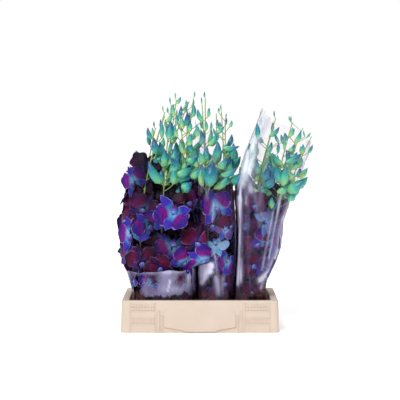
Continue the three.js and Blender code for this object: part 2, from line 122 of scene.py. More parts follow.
class Look:
    """A material with one main shader, and one method that adds any other node."""

    def __init__(self, name, **constants):
        self.material = bpy.data.materials.new(name)
        self.material.use_nodes = True
        self.tree = self.material.node_tree
        self.shader = self.tree.nodes["Principled BSDF"]
        for socket, value in constants.items():
            self.shader.inputs[socket.replace("_", " ")].default_value = value

    def node(self, kind, settings=None, sockets=None, out=0):
        made = self.tree.nodes.new(kind)
        for key, value in (settings or {}).items():
            if key == "stops":
                self.set_stops(made.color_ramp, value)
            else:
                setattr(made, key, value)
        for key, value in (sockets or {}).items():
            if isinstance(value, Wire):
                self.tree.links.new(value.out, made.inputs[key])
            else:
                made.inputs[key].default_value = value
        return Wire(self, made.outputs[out])

    def set_stops(self, ramp, stops):
        while len(ramp.elements) < len(stops):
            ramp.elements.new(0.5)
        for element, (place, colour) in zip(ramp.elements, stops):
            element.position = place
            element.color = colour

    def feed(self, socket, wire):
        self.tree.links.new(wire.out, self.shader.inputs[socket])

    def attribute(self, name):
        return self.node("ShaderNodeAttribute", {"attribute_name": name}, out="Fac")

    def place(self, stretch=(1, 1, 1)):
        """Object coordinates in metres, stretched along the three axes."""
        coordinates = self.node("ShaderNodeTexCoord", out="Object")
        return self.node("ShaderNodeMapping", {}, {"Vector": coordinates, "Scale": stretch})

    def noise(self, place, scale, detail=3.0):
        return self.node("ShaderNodeTexNoise", {}, {"Vector": place, "Scale": scale, "Detail": detail})

    def height(self, place, axis):
        return self.node("ShaderNodeSeparateXYZ", {}, {"Vector": place}, out=axis)

    def ramp(self, factor, stops):
        return self.node("ShaderNodeValToRGB", {"stops": stops}, {"Fac": factor})

    def blend(self, factor, first, second):
        """The first colour where the factor is 0, and the second where it is 1."""
        return self.node("ShaderNodeMix", {"data_type": "RGBA"}, {0: factor, 6: first, 7: second}, out=2)

    def bump(self, height, strength, distance):
        wires = {"Height": height, "Strength": strength, "Distance": distance}
        self.feed("Normal", self.node("ShaderNodeBump", {}, wires))


def paint(red, green, blue):
    """A colour as a screen shows it, from 0 to 255, turned into the shader's own scale."""
    return (*[((c / 255 + 0.055) / 1.055) ** 2.4 for c in (red, green, blue)], 1.0)


print("a screen's middle grey is", round(paint(128, 128, 128)[0], 3), "to a shader")

# %% [markdown]
# ## The sprays' plan
#
# Each spray's stem is one smooth arc. It stands on the crate's floor, leans out at the belly of the
# bunch and ends in a thin tip. Three points are enough for such an arc: where it starts, where it
# is at one middle height, and where it ends. They are the same points as the solid stem's.

# %% Where the stems run
FOOT_HEIGHT = 3.8
BELLY_HEIGHT = 170
STEMS = {
    "left_spray_1": ((-90, -34), (-108, -56), (-64, -48, 388)),
    "left_spray_2": ((-72, -40), (-70, -62), (-52, -50, 408)),
    "left_spray_3": ((-46, -38), (-32, -60), (-36, -40, 398)),
    "left_spray_4": ((-98, 0), (-108, -4), (-82, -8, 366)),
    "left_spray_5": ((-76, -6), (-84, -18), (-20, -20, 414)),
    "left_spray_6": ((-48, 0), (-38, -12), (-12, -2, 420)),
    "left_spray_7": ((-90, 34), (-104, 54), (-66, 40, 395)),
    "left_spray_8": ((-70, 40), (-70, 62), (-44, 44, 418)),
    "left_spray_9": ((-46, 38), (-32, 60), (-24, 42, 404)),
    "middle_spray_1": ((18, -32), (14, -52), (4, -48, 408)),
    "middle_spray_2": ((38, -32), (44, -50), (46, -38, 380)),
    "middle_spray_3": ((28, 0), (32, -6), (30, -10, 392)),
    "middle_spray_4": ((18, 32), (12, 54), (10, 44, 420)),
    "middle_spray_5": ((38, 32), (46, 52), (40, 38, 396)),
    "right_spray_1": ((86, -26), (94, -50), (134, -40, 372)),
    "right_spray_2": ((104, -26), (126, -46), (188, -34, 366)),
    "right_spray_3": ((80, 0), (92, -6), (112, 2, 396)),
    "right_spray_4": ((108, 2), (136, 0), (206, -4, 350)),
    "right_spray_5": ((86, 26), (94, 48), (142, 36, 384)),
    "right_spray_6": ((104, 26), (126, 44), (172, 30, 374)),
}


def stem_point(name, z):
    """The middle of a spray's stem at height z, in millimetres."""
    foot, belly, tip = STEMS[name]
    low, high = FOOT_HEIGHT, tip[2]
    a = (z - BELLY_HEIGHT) * (z - high) / ((low - BELLY_HEIGHT) * (low - high))
    b = (z - low) * (z - high) / ((BELLY_HEIGHT - low) * (BELLY_HEIGHT - high))
    c = (z - low) * (z - BELLY_HEIGHT) / ((high - low) * (high - BELLY_HEIGHT))
    return Vector([a * foot[i] + b * belly[i] + c * tip[i] for i in (0, 1)] + [z])


print("stems:", len(STEMS))

# %% [markdown]
# ## Find the flowers and buds in the solids
#
# The solids hold every flower as a flat star round one middle point, and every bud as a spindle
# with a sharp tip. Their places could be typed in again by hand, but reading them off the solids
# keeps both models in step. A flower's middle is a point where more than twenty edges meet. The
# ring of points round it is then laid over the star's known outline. The turn that fits best tells
# which way the flower faces.

# %% The star's outline, for a flower of radius 1
SEPAL_STAR = [(0.55, 18, -1), (1.0, 0, -5)]
PETAL_STAR = [(0.55, 40, 2), (0.95, 20, -1)]
LIP_STAR = [(0.45, 18, 8)]
STAR = [(15, PETAL_STAR, 1.0), (90, SEPAL_STAR, 0.98), (165, PETAL_STAR, 1.0),
        (235, SEPAL_STAR, 0.92), (270, LIP_STAR, 1.0), (305, SEPAL_STAR, 0.92)]
NOTCH = 0.17


def star_points():
    """The outline's flat points, for radius 1, and its heights in millimetres."""
    flat, heights = [], []

    def put(share, angle, height):
        flat.append((share * math.cos(math.radians(angle)), share * math.sin(math.radians(angle))))
        heights.append(height)

    for i, (middle, rows, size) in enumerate(STAR):
        for share, off, height in rows:
            put(share * size, middle - off, height)
        for share, off, height in reversed(rows):
            if off:
                put(share * size, middle + off, height)
        following = STAR[(i + 1) % len(STAR)][0] + (360 if i + 1 == len(STAR) else 0)
        put(NOTCH, (middle + following) / 2, 0)
    return np.array(flat), np.array(heights)


FLAT, HEIGHTS = star_points()
FLAT_SPREAD = ((FLAT - FLAT.mean(0)) ** 2).sum()
HEIGHT_SPREAD = ((HEIGHTS - HEIGHTS.mean()) ** 2).sum()
print("points in a star:", len(FLAT))


# %% Fit the star to a ring of points
def ring_round(hub):
    """The points round a hub, in order."""
    ring = []
    loop = hub.link_loops[0]
    for _ in hub.link_loops:
        ring.append(loop.link_loop_next.vert)
        loop = loop.link_loop_prev.link_loop_radial_next
    reach = max((v.co - hub.co).length for v in ring)
    return [v for v in ring if (v.co - hub.co).length > 0.12 * reach]


def fit_star(ring):
    """(error, radius, centre, turn) of the star that fits a ring of points best."""
    seen = np.array([v.co for v in ring])
    spread = ((seen - seen.mean(0)) ** 2).sum()
    radius = math.sqrt(max(spread - HEIGHT_SPREAD, 1) / FLAT_SPREAD)
    star = np.column_stack([FLAT * radius, HEIGHTS])
    middle = star.mean(0)
    best = None
    for way in (seen, seen[::-1]):
        for shift in range(len(star)):
            points = np.roll(way, shift, axis=0)
            u, _, vt = np.linalg.svd((star - middle).T @ (points - points.mean(0)))
            flip = np.diag([1, 1, np.sign(np.linalg.det(vt.T @ u.T))])
            turn = vt.T @ flip @ u.T
            centre = points.mean(0) - turn @ middle
            error = np.abs(star @ turn.T + centre - points).max()
            if best is None or error < best[0]:
                best = (error, radius, centre, turn)
    return best


print("ways tried to lay the star on a ring:", 2 * len(FLAT))

# %% Read one spray's flowers and buds
BUD_PLUMP = 0.26
BUD_SHOULDER = 0.7


def read_spray(name):
    """The flowers (radius, centre, turn) and buds (length, neck, way) of one spray's solid."""
    bm = bmesh.new()
    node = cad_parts[name]
    bm.from_mesh(node.data)
    to_mm = Matrix.Scale(1 / MM, 4) @ node.matrix_world
    bmesh.ops.transform(bm, matrix=to_mm, verts=bm.verts)
    bmesh.ops.remove_doubles(bm, verts=bm.verts, dist=0.001)
    flowers, petals = [], set()
    for hub in [v for v in bm.verts if len(v.link_edges) > 22]:
        ring = ring_round(hub)
        if len(ring) != len(FLAT):
            continue
        error, radius, centre, turn = fit_star(ring)
        petals.update(v.index for v in ring)
        petals.add(hub.index)
        known = any(np.linalg.norm(centre - other[1]) < 3 for other in flowers)
        if error < 0.5 and not known:
            flowers.append((radius, centre, turn))
    buds = []
    for tip in bm.verts:
        if tip.index in petals or len(tip.link_edges) != 4:
            continue
        shoulder = np.array([e.other_vert(tip).co for e in tip.link_edges])
        middle = shoulder.mean(0)
        axis = np.array(tip.co) - middle
        length = np.linalg.norm(axis) / (1 - BUD_SHOULDER)
        widths = np.linalg.norm(shoulder - middle, axis=1) / max(length, 0.001)
        if 8 < length < 55 and np.abs(widths - BUD_SHOULDER * BUD_PLUMP).max() < 0.01:
            way = axis / np.linalg.norm(axis)
            buds.append((length, np.array(tip.co) - way * length, way))
    bm.free()
    return flowers, buds


sprays = {name: read_spray(name) for name in STEMS}
print("flowers:", sum(len(f) for f, _ in sprays.values()), "buds:", sum(len(b) for _, b in sprays.values()))

# %% [markdown]
# ## One blade, the stuff of sepals and petals
#
# A sepal is a narrow pointed blade, and a petal is broad and nearly round. Both start as a small
# flat grid. Each row of the grid is drawn in to the blade's width there, and the rows near the tip
# are bent into an arc, which rounds the end. Then the blade gets its cup, its curl and a wave along
# its rim. Last, it gets a thickness, so that it is a closed leaf with a front and a back. Its points
# carry marks, which are numbers that the flower's material reads later.

# %% Marks and finished meshes
MARKS = ("along", "edge", "back", "sepal", "lip", "tone", "deep")


def add_marks(bm, names):
    """Gives every point the named marks, which are numbers that a material can read."""
    return {name: bm.verts.layers.float.new(name) for name in names}


def as_mesh(bm, name):
    """Turns a finished bmesh into a mesh, and frees it."""
    mesh = bpy.data.meshes.new(name)
    bm.to_mesh(mesh)
    bm.free()
    return mesh


print("marks on a flower's points:", ", ".join(MARKS))


# %% The blade
ACROSS = 4
ALONG = 7
BLADE_THICK = 0.014


def blade(length, widths, rounding, cup, curl, wave, phase):
    """A blade that grows from the origin along +Y, with its front towards +Z, for a flower of radius 1."""
    bm = bmesh.new()
    bmesh.ops.create_grid(bm, x_segments=ACROSS, y_segments=ALONG, size=0.5)
    marks = add_marks(bm, MARKS)
    rows = np.linspace(0, 1, len(widths))
    for v in bm.verts:
        u = 2 * v.co.x
        t = v.co.y + 0.5
        half = float(np.interp(t, rows, widths))
        rim = abs(u) ** 3 * wave * math.sin(9 * t + phase + 2 * u) * t
        lift = cup * math.sin(math.pi * min(t, 0.9)) * (1 - 0.9 * u * u) - curl * t ** 3 + rim
        v.co = (half * u * (1 - 0.1 * abs(u)), length * t - rounding * u * u * t ** 4, lift)
        v[marks["along"]] = t
        v[marks["edge"]] = max(abs(u), 1.6 * t - 0.65)
    fronts = len(bm.verts)
    bmesh.ops.solidify(bm, geom=bm.faces[:], thickness=BLADE_THICK)
    bm.verts.ensure_lookup_table()
    for v in bm.verts[fronts:]:
        v[marks["back"]] = 1
    return as_mesh(bm, "blade")


SEPAL_WIDTHS = [0.1, 0.18, 0.24, 0.26, 0.235, 0.16, 0.06]
PETAL_WIDTHS = [0.12, 0.3, 0.45, 0.53, 0.54, 0.46, 0.27]
print("faces in a blade:", len(blade(1, PETAL_WIDTHS, 0.2, 0.1, 0.1, 0.03, 0).polygons))

# %% [markdown]
# ## One whole flower
#
# Three sepals and two petals stand round the middle. Below it hangs the lip, a small trough with
# its two sides turned up and its tongue turned down. Over the lip leans the column, a blunt finger.
# No two real flowers are alike, so several flowers are made, each with its own small faults: a
# petal that leans in, a sepal that is twisted. A flower that is still opening is one of them.

# %% Put a blade in its place
def add_mesh(bm, mesh, matrix, marks=None):
    """Adds a mesh to bm under a matrix, and writes the given marks on its points."""
    start = len(bm.verts)
    bm.from_mesh(mesh)
    bm.verts.ensure_lookup_table()
    added = bm.verts[start:]
    bmesh.ops.transform(bm, matrix=matrix, verts=added)
    for name, value in (marks or {}).items():
        layer = bm.verts.layers.float[name]
        for v in added:
            v[layer] = value
    return added


def round_the_middle(angle, lean, twist, out=0.05):
    """The place of a blade: angle round the flower, leaning forward, twisted about its own length."""
    return (
        Matrix.Rotation(math.radians(angle - 90), 4, "Z")
        @ Matrix.Translation((0, out, 0))
        @ Matrix.Rotation(math.radians(lean), 4, "X")
        @ Matrix.Rotation(math.radians(twist), 4, "Y")
    )


print("a blade at 90 degrees points along", round_the_middle(90, 0, 0).to_3x3() @ Vector((0, 1, 0)))


# %% The flowers' middle: lip and column
def column_mesh():
    """A blunt finger that stands out of the middle over the lip."""
    bm = bmesh.new()
    marks = add_marks(bm, MARKS)
    bmesh.ops.create_uvsphere(bm, u_segments=8, v_segments=6, radius=1)
    for v in bm.verts:
        v[marks["along"]] = 0.2 - 0.2 * v.co.z
        v[marks["lip"]] = 1
    bmesh.ops.scale(bm, vec=(0.055, 0.05, 0.13), verts=bm.verts)
    bmesh.ops.translate(bm, vec=(0, 0, 0.09), verts=bm.verts)
    bmesh.ops.rotate(bm, cent=(0, 0, 0), matrix=Matrix.Rotation(math.radians(22), 3, "X"), verts=bm.verts)
    return as_mesh(bm, "column")


def lip_mesh():
    """The lip: a trough with two lobes turned up and a tongue turned down."""
    mesh = blade(0.42, [0.06, 0.13, 0.18, 0.15, 0.12, 0.16, 0.09], 0.08, -0.02, 0.1, 0.0, 0)
    bm = bmesh.new()
    bm.from_mesh(mesh)
    for v in bm.verts:
        near = max(0.0, 1 - abs(v.co.y - 0.15) / 0.22)
        v.co.z += 0.1 + 3.2 * v.co.x ** 2 * near + 0.1 * math.sin(math.pi * min(v.co.y / 0.5, 1))
    bm.to_mesh(mesh)
    bm.free()
    return mesh


COLUMN = column_mesh()
LIP = lip_mesh()
print("faces in a lip:", len(LIP.polygons))


# %% Several flowers, none quite alike
LOBES = [(30, "petal"), (90, "sepal"), (150, "petal"), (212, "sepal"), (328, "sepal")]
FLOWER_KINDS = 7


def flower_mesh(kind):
    """A flower of radius 1 in its own frame: it faces +Z, and its upper sepal points along +Y."""
    chance = random.Random(310 + kind)
    bm = bmesh.new()
    add_marks(bm, MARKS)
    opening = 34 if kind == FLOWER_KINDS - 1 else 0
    for angle, part in LOBES:
        broad = part == "petal"
        size = chance.uniform(0.94, 1.06) * (0.98 if broad else 0.95)
        widths = [w * chance.uniform(0.94, 1.06) for w in (PETAL_WIDTHS if broad else SEPAL_WIDTHS)]
        lean = opening + chance.uniform(-4, 12 if broad else 8)
        leaf = blade(
            size, widths, 0.2 if broad else 0.1, chance.uniform(0.02, 0.1),
            chance.uniform(0.0, 0.2), 0.05 if broad else 0.02, chance.uniform(0, 6),
        )
        place = round_the_middle(angle + chance.uniform(-6, 6), lean, chance.uniform(-12, 12))
        set_back = Matrix.Translation((0, 0, 0.02 if broad else -0.02))
        add_mesh(bm, leaf, set_back @ place, {"sepal": 0.0 if broad else 1.0})
        bpy.data.meshes.remove(leaf)
    add_mesh(bm, LIP, round_the_middle(270, 18, 0, 0.0), {"lip": 1.0})
    add_mesh(bm, COLUMN, Matrix.Translation((0, 0.01, 0.02)))
    return as_mesh(bm, f"flower_{kind}")


FLOWERS = [flower_mesh(kind) for kind in range(FLOWER_KINDS)]
print("faces in a flower:", [len(mesh.polygons) for mesh in FLOWERS])

# %% [markdown]
# ## One bud
#
# A closed flower is a plump spindle with a sharp, slightly bent tip and a small chin at its base,
# where the sepals join below. A half outline is spun once round an axis, as on a lathe, then the
# turned shape is bent. The ends of the outline lie on the axis, so the poles close by themselves.

# %% The bud
BUD_OUTLINE = [(0, 0), (0.06, 0.36), (0.18, 0.72), (0.36, 0.98), (0.54, 0.95), (0.74, 0.66),
               (0.9, 0.3), (1, 0)]
BUD_SIDES = 9
BUD_MARKS = ("along", "tone")


def bud_mesh():
    """A bud of length 1 along +Z, with its chin towards -X."""
    bm = bmesh.new()
    marks = add_marks(bm, BUD_MARKS)
    points = [bm.verts.new((BUD_PLUMP * width, 0, s)) for s, width in BUD_OUTLINE]
    edges = [bm.edges.new(pair) for pair in zip(points, points[1:])]
    bmesh.ops.spin(
        bm, geom=points + edges, cent=(0, 0, 0), axis=(0, 0, 1), dvec=(0, 0, 0),
        angle=2 * math.pi, steps=BUD_SIDES, use_merge=True,
    )
    bmesh.ops.remove_doubles(bm, verts=bm.verts, dist=1e-4)
    bmesh.ops.recalc_face_normals(bm, faces=bm.faces)
    for v in bm.verts:
        s = v.co.z
        v[marks["along"]] = s
        turn = math.atan2(v.co.y, v.co.x)
        groove = 1 - 0.05 * max(0, math.cos(3 * turn)) ** 4
        chin = 0.09 * math.exp(-(((s - 0.16) / 0.12) ** 2)) * max(0, -math.cos(turn))
        bend = 0.16 * math.sin(math.pi * s) - 0.06 * s
        v.co.x = v.co.x * groove * 0.92 - chin - bend + 0.04
        v.co.y = v.co.y * groove * 0.86
    return as_mesh(bm, "bud")


BUD = bud_mesh()
print("faces in a bud:", len(BUD.polygons))

# %% [markdown]
# ## The film sleeves' shape
#
# A sleeve is a flat tube of clear film, pushed out by what stands in it. Its cross-section is a
# rounded oblong, a superellipse, so a few cross-sections at given heights describe it whole. The
# same numbers serve twice: they make the film, and they press in any petal that would poke
# through it, as the real film does. The left bunch is open above its collar. Its flowers are kept
# off the next sleeve there, and those that lean far out to the left are drawn in a little.

# %% The sleeves' cross-sections
# A section is a height, the middle's x, half the width and half the depth, in millimetres. The top
# edge slants: slant is how much higher it is at the right end.
SLEEVE_POWER = 2.6
SLEEVES = {
    "left": {
        "sections": [(26, -59, 58, 76), (60, -63.5, 60.5, 88), (112, -73.5, 68.5, 96)],
        "top": 109,
        "slant": 3,
    },
    "middle": {
        "sections": [(26, 30.1, 32.2, 60), (60, 29.6, 34.6, 78), (110, 30, 36.5, 90),
                     (190, 30.7, 36.8, 94), (250, 26, 36, 88), (390, 24, 36, 62)],
        "top": 332,
        "slant": -50,
    },
    "right": {
        "sections": [(26, 89.8, 29.2, 54), (82, 93.6, 29.4, 78), (121, 103.5, 38, 90),
                     (147, 108.5, 42.5, 93), (194, 110.8, 44.8, 93), (259, 120, 58, 86),
                     (320, 142, 63, 74), (400, 165, 54, 56)],
        "top": 372,
        "slant": -30,
    },
}


def section_at(sleeve, z):
    """The middle's x, half the width and half the depth at heights z, in millimetres."""
    rows = np.array(sleeve["sections"], float)
    return [np.interp(z, rows[:, 0], rows[:, k]) for k in (1, 2, 3)]


def share_out(points, bunch):
    """How far out in their bunch points stand: 0 in its middle and 1 at its skin."""
    middle, half_x, half_y = section_at(SLEEVES[bunch], points[:, 2])
    out_x = np.abs((points[:, 0] - middle) / half_x) ** SLEEVE_POWER
    out_y = np.abs(points[:, 1] / half_y) ** SLEEVE_POWER
    return (out_x + out_y) ** (1 / SLEEVE_POWER)


print("sleeves:", list(SLEEVES))


# %% Press points in behind the film
# The skin is at share 1 and the film stops points just before it. Across and in depth, points past
# the first share are squeezed, and the second number is how gently.
FILM_SHARE = 0.995
HOLD_FADE = 14
SQUEEZE_X = (0.9, 0.12)
SQUEEZE_Y = (0.7, 0.32)
LEFT_EDGE = -130
LEFT_GIVE = 42
OVERLAP = 0.6


def keep_off(points, sleeve):
    """Moves points to the left of a sleeve that stands to their right."""
    middle, half_x, half_y = section_at(sleeve, points[:, 2])
    depth = np.clip(np.abs(points[:, 1] / half_y), 0, 1)
    edge = middle - half_x * (1 - depth ** SLEEVE_POWER) ** (1 / SLEEVE_POWER)
    points[:, 0] = np.minimum(points[:, 0], edge + OVERLAP)


def press_in(points, bunch):
    """Moves points that lie outside their own sleeve back inside it. Millimetres."""
    sleeve = SLEEVES[bunch]
    middle, half_x, half_y = section_at(sleeve, points[:, 2])
    dx, dy = points[:, 0] - middle, points[:, 1]
    share = share_out(points, bunch)
    top = sleeve["top"] + sleeve["slant"] * np.clip(dx / half_x, -1, 1)
    held = np.clip((top + HOLD_FADE - points[:, 2]) / HOLD_FADE, 0, 1)

    def squeezed(start, give):
        """Shares past start crowd up towards the film. A larger give leaves more room before it."""
        crowded = start + (FILM_SHARE - start) * (1 - np.exp(-(share - start) / give))
        return 1 + held * (share > start) * (crowded / np.maximum(share, 0.01) - 1)

    pressed = points.copy()
    pressed[:, 0] = middle + dx * squeezed(*SQUEEZE_X)
    pressed[:, 1] = dy * squeezed(*SQUEEZE_Y)
    if bunch == "left":
        keep_off(pressed, SLEEVES["middle"])
        past = np.maximum(LEFT_EDGE - pressed[:, 0], 0)
        pressed[:, 0] += past - LEFT_GIVE * (1 - np.exp(-past / LEFT_GIVE))
    return pressed


far_out = press_in(np.array([[-300.0, 0.0, 90.0]]), "left")[0]
print("a point far to the left comes in to x =", round(far_out[0]), "mm")

# %% [markdown]
# ## The flowers and buds in front
#
# In front of each bunch some flowers and buds are seen whole, and the eye knows the bunch by them.
# So they are placed one by one, where the photograph shows them. A place in the picture is only a line
# that leaves the camera, so each needs a depth as well: the point is where the line crosses the
# upright plane at that depth. The places are pixels of the photograph, across and down from its
# upper left corner, read off enlarged parts of it.
#
# Each of them takes the place of the solid one nearest to it, and none of the others may stand
# before a front flower.

# %% From a place in the picture to a point
PICTURE = 400
FOCAL = LENS / eye.sensor_width * PICTURE


def seen_at(across, down, y):
    """The x and z, in whole millimetres, of the point at depth y that the picture shows there."""
    tilt = math.radians(CAMERA_DOWN)
    right, up = (across - PICTURE / 2) / FOCAL, (PICTURE / 2 - down) / FOCAL
    away = math.cos(tilt) + up * math.sin(tilt)
    rise = up * math.cos(tilt) - math.sin(tilt)
    far = (y - CAMERA_AT[1] / MM) / away
    return round(CAMERA_AT[0] / MM + far * right), round(CAMERA_AT[2] / MM + far * rise)


print("the picture's middle shows x, z =", seen_at(PICTURE / 2, PICTURE / 2, 0), "at y = 0")

# %% The front flowers
# Across, down; depth y; azimuth and elevation that it faces; its turn; radius; its tone, from 0,
# violet, to 1, wine, or below 0 for a pale one. Millimetres and degrees.
FRONT_FLOWERS = {
    "left": [
        (174, 213, -98, -98, 8, 160, 41, 0.12), (131, 235, -62, -118, 2, 24, 37, 0.2),
        (173, 246, -78, -88, 12, 168, 37, 0.45), (197, 243, -84, -80, 10, -12, 36, 0.62),
        (143.5, 169, -44, -116, 20, -20, 36, 0.5), (134.5, 182, -48, -128, 4, 26, 32, 0.3),
        (142.5, 194, -52, -120, 10, 10, 27, 0.7), (144, 209, -66, -112, 6, -20, 34, 0.55),
        (150, 226, -66, -104, 0, 40, 35, 0.15), (143, 262, -70, -108, -6, 12, 35, 0.95),
        (186, 263, -86, -86, 0, -28, 33, 0.4), (158, 197, -44, -96, 24, -30, 31, 0.9),
        (147, 185, -34, -112, 14, 30, 30, 0.8), (148, 199, -30, -110, 20, 20, 31, 0.7),
        (180, 196, -30, -80, 30, 0, 31, 0.95), (198, 200, -44, -84, 26, 10, 31, 0.6),
        (160, 268, -82, -98, -8, 30, 34, 0.7), (171, 201, -62, -92, 20, 2, 30, 0.98),
        (188, 203, -48, -84, 24, 30, 33, 0.5), (203, 262, -92, -76, -4, 60, 33, 0.35),
        (128, 257, -56, -135, 0, -10, 32, 0.5), (150, 283, -78, -100, 0, 120, 30, 0.1),
        (186, 284, -80, -85, -8, 10, 29, 0.75), (156, 248, -66, -104, 6, -40, 34, 0.6),
    ],
    "middle": [
        (212, 196, -40, -90, 30, 0, 31, 0.8), (216, 209, -84, -82, 12, 24, 38, 0.1),
        (231, 203, -70, -74, 22, 6, 35, 1), (215.5, 245, -90, -96, 40, 200, 31, -0.6),
        (225.5, 231, -86, -70, 50, 150, 26, -0.2), (214, 226, -80, -94, 4, -24, 36, 0.75),
        (232, 226, -76, -76, 6, 20, 36, 0.9), (229, 262, -84, -80, -4, 165, 34, 0.35),
        (213, 262, -86, -96, 0, 40, 33, 0.6), (226, 284, -72, -88, 0, 0, 29, 0.9),
    ],
    "right": [
        (265.5, 222, -86, -60, 10, -70, 27, -0.3), (255, 206, -74, -98, 16, 10, 33, 1),
        (257, 244, -80, -94, 2, 30, 33, 0.9), (268, 243, -80, -76, 4, -30, 33, 0.15),
        (253, 266, -78, -98, 0, 60, 32, 0.8), (266, 268, -72, -74, -4, -10, 31, 0.4),
        (278, 236, -62, -62, 4, 30, 34, 0.35), (252, 292, -62, -92, -6, 0, 28, 0.6),
        (246, 228, -62, -110, 4, -20, 32, 0.5), (270, 212, -50, -72, 20, 20, 32, 0.9),
        (246, 200, -30, -100, 24, 0, 31, 1),
    ],
}
print("front flowers:", {bunch: len(rows) for bunch, rows in FRONT_FLOWERS.items()})
